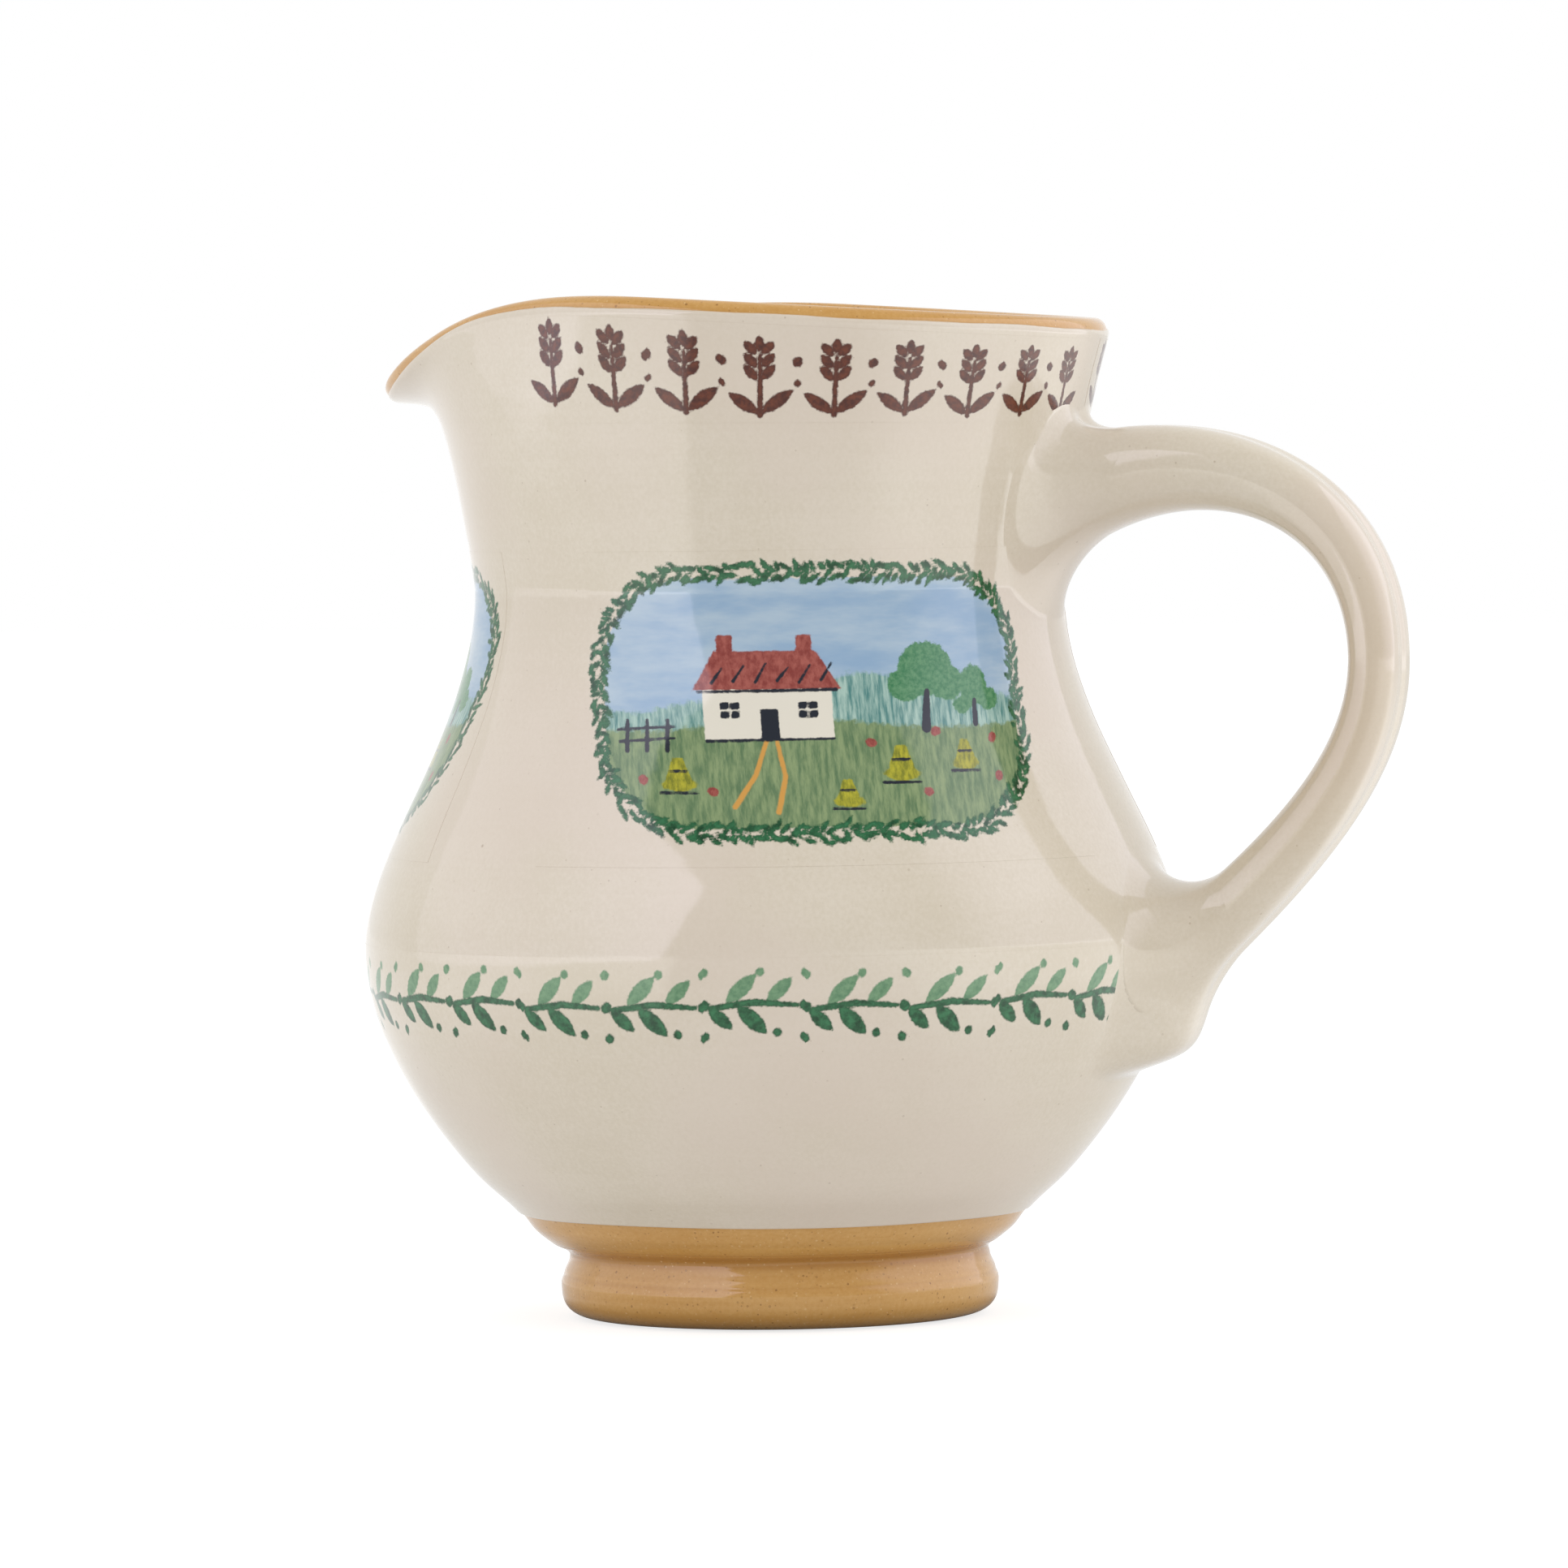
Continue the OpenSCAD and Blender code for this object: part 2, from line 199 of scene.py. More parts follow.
def rimEdge(angle, turn, lift=0.0):
    # half an ellipse over the wall's end: half the wall times cos, the rise times sin, both grown by the lift
    angle, turn, lift = grids(angle, turn, lift)
    n, up = wallWays(angle, np.full(angle.shape, pot["rimHeight"]))
    t, lift, thin = np.radians(turn)[..., None], lift[..., None], lipThin(angle, 1.0)[..., None]
    half, rise = pot["wall"] / 2 * thin, pot["rimRound"] * (0.4 + 0.6 * thin)
    return (wallPoint(angle, pot["rimHeight"]) + n * ((half + lift) * np.cos(t) - half)
            + up * (rise + lift) * np.sin(t))


def skinPoint(angle, e, lift):
    # e is the way up from the wall's end: below it the wall, above it over the rim's round
    angle, e, lift = grids(angle, e, lift)
    onRim = rimEdge(angle, np.degrees(above(e) / pot["rimBend"]), lift)
    return np.where((e < 0)[..., None], wallAt(angle, pot["rimHeight"] + np.minimum(e, 0), lift), onRim)


def innerPoint(angle, h, extra):
    # above the belly the inner face of the wall, less the extra; below it level rings that draw in
    # to the floor by a power of the drop
    angle, h, extra = grids(angle, h, extra)
    high = pot["bellyRadius"] - pot["wall"] - extra
    low = pot["floorRadius"] - extra
    floor = pot["floorHeight"] + extra
    fall = above(pot["bellyHeight"] - h) / (pot["bellyHeight"] - floor)
    r = high - (high - low) * fall ** pot["drawIn"] + ripple(angle, h)
    upper = wallAt(angle, h, -(pot["wall"] * lipThin(angle, lipClimb(h)) + extra))
    return np.where((h < pot["bellyHeight"])[..., None], circle(middleX(h), r, angle, h), upper)


# Meshes

def ringFaces(m, n, loop):
    # two neighbouring rows and columns of an m by n grid make a face, and columns close on themselves
    rows = np.arange(m if loop else m - 1)[:, None]
    cols = np.arange(n)[None, :]
    a, b = rows * n + cols, rows * n + (cols + 1) % n
    c, d = (rows + 1) % m * n + (cols + 1) % n, (rows + 1) % m * n + cols
    quads = together(a, b, c, d).reshape(-1, 4)
    u0, u1 = cols / n + 0 * rows, (cols + 1) / n + 0 * rows
    j0, j1 = rows + 0 * cols, rows + 1 + 0 * cols
    corners = ((u0, j0), (u1, j0), (u1, j1), (u0, j1))
    uv = np.stack([np.stack(pair, -1) for pair in corners], -2)
    return quads, uv.reshape(-1, 4, 2).astype(float)


def makePatch(rows, loop=False, poles=(), flatEnds=False, front=None, values=None, sharp=None):
    # a closed skin through rings of points: its rows are joined last to first, or end in a pole or
    # a flat strip, and front says how many of them show
    m, n = rows.shape[:2]
    points = rows.reshape(-1, 3)
    values = {key: np.broadcast_to(value, (m, n) + np.shape(value)[2:]).reshape(m * n, -1)
              for key, value in (values or {}).items()}
    quads, uv = ringFaces(m, n, loop)
    front = m if front is None else front
    shown, hidden = max(front - 1, 1), max(m - front + 1, 1)

    def mapRow(j):
        # the rows that show take most of the map, the hidden ones a thin strip at its top
        return np.where(j <= front - 1, 0.96 * j / shown, 0.97 + 0.03 * (j - front + 1) / hidden)

    uv[..., 1] = mapRow(uv[..., 1])
    tris = np.zeros((0, 3), int)
    trisUv = np.zeros((0, 3, 2))
    for end in poles:
        # a fan of triangles to the middle of the first or the last ring
        ring = np.arange(n) + end * (m - 1) * n
        tip = np.full(n, len(points))
        points = np.vstack([points, points[ring].mean(0)])
        values = {k: np.vstack([v, v[ring].mean(0)]) for k, v in values.items()}
        at = float(mapRow(np.array(end * (m - 1.0))))
        u = np.arange(n) / n
        made = [ring, np.roll(ring, -1), tip]
        order = [together(u + step / n, np.full(n, at + up))
                 for step, up in ((0, 0), (1, 0), (0.5, 0.0005 if end else -0.0005))]
        if end == 0:
            made, order = [made[1], made[0], made[2]], [order[1], order[0], order[2]]
        tris, trisUv = np.vstack([tris, np.stack(made, -1)]), np.vstack([trisUv, np.stack(order, 1)])
    if flatEnds:
        i = np.arange(n // 2 - 1)
        strip = together(i, n - 1 - i, n - 2 - i, i + 1)
        last = strip[:, ::-1] + (m - 1) * n
        quads = np.vstack([quads, strip, last])
        uv = np.vstack([uv, np.full((2 * len(i), 4, 2), 0.995)])
    solid = sum(np.einsum("ij,ij->i", p[:, 0], np.cross(p[:, k], p[:, k + 1])).sum()
                for p, k in ((points[quads], 1), (points[quads], 2), (points[tris], 1)))
    if solid < 0:  # faces point outwards
        quads, uv, tris, trisUv = quads[:, ::-1], uv[:, ::-1], tris[:, ::-1], trisUv[:, ::-1]
    return {"points": points, "quads": quads, "uv": uv, "tris": tris, "trisUv": trisUv, "values": values,
            "sharp": sharp}


def addThing(name, data):
    # a new object in the scene
    thing = bpy.data.objects.new(name, data)
    scene.collection.objects.link(thing)
    return thing


def buildPiece(name, patches, material, nodes=()):
    # joins the patches into one mesh in metres, at its place in the frame, and hangs it on the body
    starts = np.cumsum([0] + [len(p["points"]) for p in patches])
    points = np.vstack([p["points"] for p in patches]) * mm
    quads = np.vstack([p["quads"] + s for p, s in zip(patches, starts)])
    tris = np.vstack([p["tris"] + s for p, s in zip(patches, starts)])
    uv = join([p[key].reshape(-1, 2) for key in ("uv", "trisUv") for p in patches])
    mesh = bpy.data.meshes.new(name)
    mesh.from_pydata(points, [], quads.tolist() + tris.tolist())
    mesh.shade_smooth()
    mesh.uv_layers.new(name="OFBake").data.foreach_set("uv", uv.astype(np.float32).ravel())
    for key in patches[0]["values"]:
        data = np.vstack([p["values"][key] for p in patches]).astype(np.float32)
        kind, field = ("FLOAT", "value") if data.shape[1] == 1 else ("FLOAT_VECTOR", "vector")
        mesh.attributes.new(key, kind, "POINT").data.foreach_set(field, data.ravel())
    if patches[0]["sharp"] is not None:
        onEdge = join([p["sharp"] for p in patches])
        pairs = np.empty(len(mesh.edges) * 2, np.int32)
        mesh.edges.foreach_get("vertices", pairs)
        mesh.attributes.new("sharp_edge", "BOOLEAN", "EDGE").data.foreach_set(
            "value", onEdge[pairs.reshape(-1, 2)].all(1))
    mesh.validate()
    mesh.materials.append(material)
    piece = addThing(name, mesh)
    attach(piece, "root")
    if nodes:
        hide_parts(*nodes)
    print("Piece", name, len(points), "points", len(quads) * 2 + len(tris), "triangles")


# Shader nodes

class Wire:
    # an output of a shader node: arithmetic adds Math nodes, and a key gives another output of the node
    def __init__(self, tree, socket):
        self.tree, self.socket = tree, socket

    def __getitem__(self, key):
        return Wire(self.tree, self.socket.node.outputs[key])

    def __add__(self, other):
        return reckon(self.tree, "ADD", self, other)

    def __sub__(self, other):
        return reckon(self.tree, "SUBTRACT", self, other)

    def __mul__(self, other):
        return reckon(self.tree, "MULTIPLY", self, other)


def place(tree, kind, wires=None, **settings):
    # adds a shader node, sets its settings, gives each socket a value or a link; returns the first output
    made = tree.nodes.new("ShaderNode" + kind)
    for key, value in settings.items():
        setattr(made, key, value)
    for socket, value in (wires or {}).items():
        if isinstance(value, Wire):
            tree.links.new(value.socket, made.inputs[socket])
        else:
            made.inputs[socket].default_value = value
    return Wire(tree, made.outputs[0]) if made.outputs else None


def connect(wires, sockets):
    # links each wire to the socket in the same place
    for wire, socket in zip(wires, sockets):
        wire.tree.links.new(wire.socket, socket)


def reckon(tree, operation, *values):
    # one step of arithmetic
    return place(tree, "Math", dict(enumerate(values)), operation=operation)


def blendColour(share, first, second):
    # from the first colour at share 0 to the second at share 1
    return place(share.tree, "Mix", {0: share, 6: first, 7: second}, data_type="RGBA")[2]


def ramp(value, low, high, start=0.0, end=1.0):
    # an S curve: start where the value is low, end where it is high
    wires = {0: value, 1: low, 2: high, 3: start, 4: end}
    return place(value.tree, "MapRange", wires, interpolation_type="SMOOTHSTEP")


def grainOf(vector, scale, detail=2.0, rough=0.5):
    # smooth noise between 0 and 1
    wires = {"Vector": vector, "Scale": scale, "Detail": detail, "Roughness": rough}
    return place(vector.tree, "TexNoise", wires)


def measure(tree, name, output="Fac"):
    # a value that the mesh carries at its points
    return place(tree, "Attribute", attribute_name=name)[output]


def socketKind(value):
    # a colour has four numbers, a vector three, and a plain value is one
    size = len(value) if isinstance(value, tuple) else 1
    return {1: "NodeSocketFloat", 3: "NodeSocketVector", 4: "NodeSocketColor"}[size]


def newGroup(name, inputs, outputs):
    # a node group: each input with its first value, each output with a value of its kind
    tree = bpy.data.node_groups.new(name, "ShaderNodeTree")
    for label, value in inputs.items():
        made = tree.interface.new_socket(label, in_out="INPUT", socket_type=socketKind(value))
        made.default_value = value
    for label, value in outputs.items():
        tree.interface.new_socket(label, in_out="OUTPUT", socket_type=socketKind(value))
    given = Wire(tree, tree.nodes.new("NodeGroupInput").outputs[0])
    return tree, given, tree.nodes.new("NodeGroupOutput").inputs


def useGroup(tree, group, wires):
    # a node group placed in a tree, with its inputs
    return place(tree, "Group", wires, node_tree=group)


def objectPlace(tree):
    # where a point lies in its piece's own space
    return place(tree, "TexCoord")["Object"]


def makeSpecks():
    # iron specks: cells of a Voronoi pattern, a few of which hold a dot of their own size
    tree, given, out = newGroup("ironSpecks", {"Cells": 500.0, "Share": 0.1, "Size": 0.12}, {"Mask": 0.0})
    where = objectPlace(tree)
    cells = place(tree, "TexVoronoi", {"Vector": where, "Scale": given["Cells"]})
    lot = place(tree, "SeparateColor", {0: cells["Color"]})
    chosen = reckon(tree, "LESS_THAN", lot[0], given["Share"])
    size = given["Size"] * (lot[1] + 0.35)
    dot = ramp(size - cells["Distance"], -0.03, 0.04)
    connect([dot * (chosen * lot[2])], out)
    return tree


def makeThrown():
    # throwing rings: noise drawn out round the pot, with a broad mottle and a fine grain
    tree, given, out = newGroup("thrownSurface", {"Rings": 1.0, "Mottle": 1.0}, {"Shade": 0.0, "Height": 0.0})
    where = objectPlace(tree)
    rings = grainOf(place(tree, "Mapping", {0: where, 3: (9.0, 9.0, 620.0)}), 1.0, 3.0, 0.55)
    lines = (rings - 0.5) * given["Rings"]
    cloud = (grainOf(where, 38.0, 3.0, 0.5) - 0.5) * given["Mottle"]
    dust = (grainOf(where, 1500.0, 2.0, 0.6) - 0.5) * 1.1
    connect([lines + cloud + dust, rings * 0.35 + grainOf(where, 260.0, 1.0, 0.4)], out)
    return tree


specks = makeSpecks()
thrown = makeThrown()
white = (1.0, 1.0, 1.0, 1.0)

# colours as they are seen on a screen; specks have cells in a metre, the share of them that hold a dot, its
# size and, in the clay, its strength
creamLook = {
    "body": paint(217, 207, 191), "shade": paint(208, 197, 178), "rose": paint(213, 199, 185),
    # tan is for the handle's flanks: painted shade towards its joints, and a thinner slip over the bow
    "speck": paint(138, 112, 84), "thin": paint(192, 152, 98), "tan": paint(190, 168, 136), "roughness": 0.08,
    "rings": 0.35, "mottle": 1.3, "warmGrain": 21.0, "thinGrain": 420.0,
    "smallSpecks": (620.0, 0.35, 0.1), "largeSpecks": (210.0, 0.03, 0.08),
}
honeyLook = {
    # the third colour is painted shade under the wall, with glaze pooling
    "body": paint(193, 144, 76), "pale": paint(206, 161, 96), "poolAndShade": paint(164, 112, 48),
    "light": paint(220, 186, 132), "speck": paint(134, 88, 40), "bare": paint(206, 174, 128),
    "roughness": 0.1, "bareRoughness": 0.6, "rings": 1.6, "mottle": 1.2,
    "darkSpecks": (1300.0, 0.5, 0.24, 0.7), "lightSpecks": (1500.0, 0.5, 0.22, 0.7),
}
glaze = {"refraction": 1.52, "bump": 0.35, "bumpDepth": 0.00006}
paints = {
    "sky": paint(142, 170, 198), "skyPale": paint(176, 194, 208), "hill": paint(70, 126, 122),
    "hillPale": paint(168, 196, 184), "meadow": paint(90, 118, 80), "meadowPale": paint(138, 156, 110),
    "leaf": paint(52, 118, 76), "leafPale": paint(96, 146, 104), "leafDark": paint(8, 60, 30),
    "brown": paint(66, 20, 4), "brownPale": paint(108, 50, 24),
    "brick": paint(132, 56, 50), "brickPale": paint(168, 92, 82), "navy": paint(26, 32, 44),
    "yellow": paint(180, 174, 50), "yellowDark": paint(118, 122, 36), "ochre": paint(206, 152, 74),
    "wallPale": paint(224, 218, 204),
}


def speckMask(tree, cells, share, size):
    # 1 on a speck and 0 beside it
    return useGroup(tree, specks, {"Cells": cells, "Share": share, "Size": size})["Mask"]


def makeCream():
    # pale slip under clear glaze: a mottle between three tones, specks, and clay showing where it is thin
    tree, given, out = newGroup("creamSlip", {"Thin": 0.0}, {"Color": white, "Height": 0.0})
    surface = useGroup(tree, thrown, {"Rings": creamLook["rings"], "Mottle": creamLook["mottle"]})
    where = objectPlace(tree)
    colour = blendColour(ramp(surface["Shade"], -0.45, 0.5), creamLook["shade"], creamLook["body"])
    warm = ramp(grainOf(where, creamLook["warmGrain"], 3.0), 0.42, 0.68)
    colour = blendColour(warm * 0.6, colour, creamLook["rose"])
    small, large = (speckMask(tree, *creamLook[kind]) for kind in ("smallSpecks", "largeSpecks"))
    colour = blendColour(reckon(tree, "MAXIMUM", small * 0.35, large * 0.7), colour, creamLook["speck"])
    uneven = (grainOf(where, creamLook["thinGrain"], 3.0) - 0.5) * 0.5
    thin = ramp(given["Thin"] + uneven, 0.35, 0.85)
    connect([blendColour(thin, colour, creamLook["thin"]), surface["Height"]], out)
    return tree


creamSlip = makeCream()


def newMaterial(name):
    # a material with an empty node tree
    material = bpy.data.materials.new(name)
    material.use_nodes = True
    material.node_tree.nodes.clear()
    return material, material.node_tree


def glazed(name, buildColour, roughness):
    # a material: colour and height come from buildColour, under one glossy glaze
    material, tree = newMaterial(name)
    colour, height, *rough = buildColour(tree)
    bump = place(tree, "Bump", {"Strength": glaze["bump"], "Distance": glaze["bumpDepth"], "Height": height})
    wires = {"Base Color": colour, "Normal": bump, "Roughness": rough[0] if rough else roughness}
    shader = place(tree, "BsdfPrincipled", {**wires, "IOR": glaze["refraction"], "Metallic": 0.0})
    place(tree, "OutputMaterial", {0: shader})
    return material


def creamColour(tree):
    # the slip is thin where its edge is less than one away
    thin = reckon(tree, "SUBTRACT", 1.0, ramp(measure(tree, "edge"), 0.0, 1.0))
    made = useGroup(tree, creamSlip, {"Thin": thin})
    return made["Color"], made["Height"]


def plainCreamColour(tree):
    # the handle's slip is a little thinner, and tan on the flanks: painted shade towards the joints with the
    # pot, and a thinner slip over the bow
    made = useGroup(tree, creamSlip, {"Thin": 0.0})
    return blendColour(measure(tree, "tan"), made["Color"], creamLook["tan"]), made["Height"]


def honeyColour(tree):
    # honey clay: pale on the crests, dark with painted shade and glaze pooling under the wall over the foot,
    # matt and dry where it is bare
    surface = useGroup(tree, thrown, {"Rings": honeyLook["rings"], "Mottle": honeyLook["mottle"]})
    colour = blendColour(ramp(surface["Shade"], -0.5, 0.6), honeyLook["body"], honeyLook["pale"])
    colour = blendColour(ramp(measure(tree, "poolAndShade"), 0.0, 1.0), colour, honeyLook["poolAndShade"])
    for tone, kind in (("speck", "darkSpecks"), ("light", "lightSpecks")):
        *dots, strength = honeyLook[kind]
        colour = blendColour(speckMask(tree, *dots) * strength, colour, honeyLook[tone])
    bare = ramp(measure(tree, "bare"), 0.3, 0.7)
    colour = blendColour(bare, colour, honeyLook["bare"])
    rough = ramp(bare, 0.0, 1.0, honeyLook["roughness"], honeyLook["bareRoughness"])
    return colour, surface["Height"], rough


creamMaterial = glazed("creamSlipGlaze", creamColour, creamLook["roughness"])
creamPlain = glazed("creamHandleGlaze", plainCreamColour, creamLook["roughness"])
honeyMaterial = glazed("honeyClayGlaze", honeyColour, honeyLook["roughness"])
print("Glazes made")


# The pot's pieces

def roundAngles(count):
    # angles spaced evenly round a circle
    return 360 * np.arange(count) / count


def columnAngles():
    # columns stand closer together at the lip: q less a share of its sine
    q = 2 * np.pi * np.arange(pot["columns"]) / pot["columns"]
    return np.degrees(q - lip["crowding"] * np.sin(q))[None, :]


columns = columnAngles()


def waver(angle, waves):
    # a sum of sine waves round the pot
    return sum(size * np.sin(count * np.radians(angle) + start) for size, count, start in waves)


def slipTop(angle):
    # the slip's upper edge wavers under the rounded rim, and climbs over it at the lip
    climb = slip["climb"] * fade(fromLip(angle) / slip["climbSpread"])
    return slip["top"] + waver(angle, slip["topWaves"]) + climb


def slipBottom(angle):
    # the height of the slip's lower edge: its line and the waves
    return slip["line"] + waver(angle, slip["lowWaves"])


def coveShade(z):
    # painted shade under the wall, over the foot, with some glaze pooling in it
    return pot["poolAndShade"] * fade((z - pot["poolHeight"]) / pot["poolSpread"])


def makeWall():
    # from the base's middle up the outside, over the rim, down the inside and to the floor's middle
    lower = levels((pot["baseHeight"], 12.2, 6), (12.5, 19.5, 26), (22, 160, 40), (161, pot["rimHeight"], 14))
    outer = wallAt(columns, lower, -1.0 * above(12.45 - lower))
    edge = rimEdge(columns, np.linspace(0, 180, 25)[1:-1][:, None])
    inner = innerPoint(columns, levels((pot["rimHeight"], 160, 12), (157, pot["floorHeight"], 40)), 0.0)
    # the floor's two faces are level discs: shares of the way from the middle to the last ring
    centre = np.array([middleX(pot["floorHeight"]), 0, pot["floorHeight"]])
    floor = centre + (inner[-1:] - centre) * levels((1, 0.05, 8))[1:, None]
    under = np.array([middleX(pot["baseHeight"]), 0, pot["baseHeight"]])
    base = under + (outer[:1] - under) * np.array([0.05, 0.4, 0.8, 0.97])[:, None, None]
    rows = join([base, outer, edge, inner, floor])
    # the clay takes the painted shade under the wall, over the foot
    return makePatch(rows, poles=(0, 1), values={"poolAndShade": coveShade(rows[..., 2]), "bare": 0 * rows[..., 2]})


def makeOuterSlip():
    # the coat's thickness rises from nothing at both edges over about a millimetre
    top, bottom = slipTop(columns), slipBottom(columns) - pot["rimHeight"]
    hem = np.array([0, 0.03, 0.08, 0.16, 0.28, 0.45])[:, None]
    crown = np.array([1.1, 0.75, 0.5, 0.3, 0.14, 0.0])[:, None]
    share = levels((0, 1, slip["rows"]))
    way = join([bottom + hem, bottom + 0.8 + (top - 1.4 - bottom - 0.8) * share, top - crown])
    thick = slip["thick"] * np.array([-0.2, 0.45, 0.72, 0.88, 0.97, 1.0])
    lift = join([thick, np.full(len(share), slip["thick"]), thick[::-1]])[:, None]
    hidden = bottom + (top - bottom) * levels((1, 0, 40))
    rows = join([skinPoint(columns, way, lift), skinPoint(columns, hidden, -slip["sunk"])])
    e = join([way, hidden])
    edge = np.minimum((e - bottom) * 3 + 0.3, (top - e) * 2)
    return makePatch(rows, loop=True, front=len(way), values={"edge": edge})


def makeLining():
    # from the floor's middle up the inside to just under the rim, and back inside the wall
    lowest = pot["floorHeight"] + slip["thick"]
    ground = pot["floorHeight"] - slip["sunk"]
    top = pot["rimHeight"] - 0.6 + 0.4 * (slipTop(columns + 40) - slip["top"])
    crown = np.array([0.0, 0.15, 0.35, 0.6, 0.9, 1.3])[:, None]
    heights = join([top - crown, top - 1.6 + (lowest - top + 1.6) * levels((0, 1, 110))])
    thickness = slip["thick"] * join([[-0.2, 0.36, 0.66, 0.86, 0.96, 1.0], np.ones(110)])
    inner = innerPoint(columns, heights, thickness[:, None])
    shares = levels((1, 0.02, 40))[1:, None]
    centre = np.array([middleX(lowest), 0, lowest])
    floor = centre + (inner[-1:] - centre) * shares
    # a faint spiral on the floor: a sine of the share of the radius and of the angle
    spiral = np.sin(shares[..., 0] * 60 + np.radians(columns))
    floor[..., 2] += 0.12 * spiral * fade((shares[..., 0] - 0.5) / 0.5)
    back = levels((0, 1, 40)) * (ground - top) + top
    hidden = innerPoint(columns, back, -slip["sunk"])
    centre[2] = ground
    underneath = centre + (hidden[-1:] - centre) * np.array([0.6, 0.3, 0.02])[:, None, None]
    rows = join([floor[::-1], inner[::-1], hidden, underneath])
    wide = np.full((1, rows.shape[1]), 9.0)
    edge = join([wide.repeat(len(floor), 0), (top - heights)[::-1], top - back, wide.repeat(3, 0)])
    return makePatch(rows, poles=(0, 1), front=len(floor) + len(inner), values={"edge": edge * 2})


foot = {
    "beadRadius": 36.62, "beadHeight": 5.5, "standingRadius": 31.0, "coveRadius": 35.2, "coveHeight": 10.4,
    "sleeveTop": 12.7, "recessRadius": 27.0, "recessDepth": 5.4, "edge": 0.7, "corner": 0.9,
    "cut": 0.07, "cutHeight": 7.2, "cutSpread": 0.4, "beadSquare": 2.9, "beadPower": 0.4545, "covePower": 0.9,
    "rolls": ((0.09, 8.3, 0.8), (0.06, 5.9, 0.9)),  # push outwards, height, spread
}


def footRadius(z):
    # a squared-off quarter ellipse up to the bead, then half a cosine wave in to the cove,
    # with one fine cut line and a soft roll under and over it
    under = 1 - np.clip(1 - z / foot["beadHeight"], 0, 1) ** foot["beadSquare"]
    bead = foot["standingRadius"] + (foot["beadRadius"] - foot["standingRadius"]) * under ** foot["beadPower"]
    rise = fade((z - foot["beadHeight"]) / (foot["coveHeight"] - foot["beadHeight"]))
    cove = foot["coveRadius"] + (foot["beadRadius"] - foot["coveRadius"]) * rise ** foot["covePower"]
    r = np.where(z < foot["beadHeight"], bead, cove)
    rolls = sum(push * bell(z, height, spread) for push, height, spread in foot["rolls"])
    return r - foot["cut"] * bell(z, foot["cutHeight"], foot["cutSpread"]) + rolls


def makeFoot():
    # rings from the sleeve on the wall, down the cove and the bead, round the standing ring to the recess
    def ring(r, z):
        return circle(0, np.asarray(r, float)[:, None], columns, np.asarray(z, float)[:, None])

    # the sleeve leaves the cove and bends out to lie on the wall: a smooth share of one and of the other
    z = np.linspace(foot["sleeveTop"], foot["coveHeight"], 18)
    leave = foot["sleeveTop"] - 0.3
    share = fade((leave - z) / (leave - foot["coveHeight"] + 0.2))[:, None, None]
    lift = np.where(z > foot["sleeveTop"] - 0.2, -0.05, 0.02)[:, None]
    straight = ring(np.full(18, foot["coveRadius"]), z)
    sleeve = share * wallAt(columns, z[:, None], lift) + (1 - share) * straight
    t = np.linspace(1, 0, 90)[1:]
    down = foot["coveHeight"] * t ** 1.35
    outer = ring(footRadius(down), down)
    turn = np.radians(np.linspace(0, 90, 6))
    edge, corner = foot["edge"], foot["corner"]
    inside = ring(foot["recessRadius"] + edge * (1 - np.sin(turn)), edge * (1 - np.cos(turn)))
    up = ring(np.full(6, foot["recessRadius"]), np.linspace(1.0, foot["recessDepth"] - corner, 6))
    bend = ring(foot["recessRadius"] - corner * (1 - np.cos(turn)),
                foot["recessDepth"] - corner * (1 - np.sin(turn)))
    r = np.linspace(foot["recessRadius"] - 1.5, 0.6, 34)
    ceiling = ring(r, foot["recessDepth"] - 0.12 * np.sin(r * 1.6) * fade((r - 13) / 13))
    back = wallAt(columns, np.array([[foot["sleeveTop"] - 0.1]]), -0.7)
    hidden = join([ring([0.5, 20.0], [11.0, 11.0]), back])
    rows = join([hidden, sleeve, outer, inside, up, bend, ceiling])
    r, z = np.hypot(rows[..., 0], rows[..., 1]), rows[..., 2]
    # painted shade under the wall, with glaze pooling, and a painted shadow along the fine cut line on the
    # bead's outside
    poolAndShade = coveShade(z) + 0.25 * bell(z, foot["cutHeight"], foot["cutSpread"]) * (r > 33)
    bare = np.where((z < 0.12) & (r > foot["recessRadius"] + 0.1), 1.0, 0.0)
    return makePatch(rows, poles=(0, 1), values={"poolAndShade": np.clip(poolAndShade, 0, 1), "bare": bare})


buildPiece("thrownWall", [makeWall()], honeyMaterial, ["clay_body"])
buildPiece("turnedFoot", [makeFoot()], honeyMaterial, ["foot_ring"])
buildPiece("outerSlip", [makeOuterSlip()], creamMaterial, ["outer_slip_coat"])
buildPiece("innerSlip", [makeLining()], creamMaterial, ["inner_slip_lining"])

# The handle

strap = {
    "out": 36.6, "rootDrop": 32.9, "crownRise": 15.4, "bowRise": 46.0, "heelDrop": 11.9,
    "sunk": 1.9, "thick": 8.7, "wide": 17.5, "rootThick": 11.0, "rootWide": 5.0, "heelThick": 5.0,
    "rootPower": 1.6, "heelPower": 1.5, "square": 2.6, "groove": 0.6, "groovePower": 8, "ridge": 0.28,
    "shoulder": 60, "shoulderSpread": 9, "streak": 0.035, "streaks": 13, "rows": 240, "sides": 96,
    "rootSpan": (-0.2, 0.3), "heelSpan": (1.2, 0.7),  # where each end is looked for, from inside the wall out
}
tail = {
    "thick": 8.7, "bottom": 39.5, "middle": 55.5, "top": 75.0, "halfWidth": 20.0, "square": 8,
    "downPower": 4.5, "upPower": 1.6, "sidePower": 1.6, "toePower": 1.5, "sides": 144,
}
# tan patches on the flanks, painted shade near the heel and the root and a thinner slip at the bow: strength,
# place along the strap and spread of the two bells, then of the bow's
shadeAndThinSlipMarks = {"heel": (1.1, 0.955, 0.055), "root": (0.1, 0.13, 0.06), "bow": (0.7, 0.6, 0.4)}


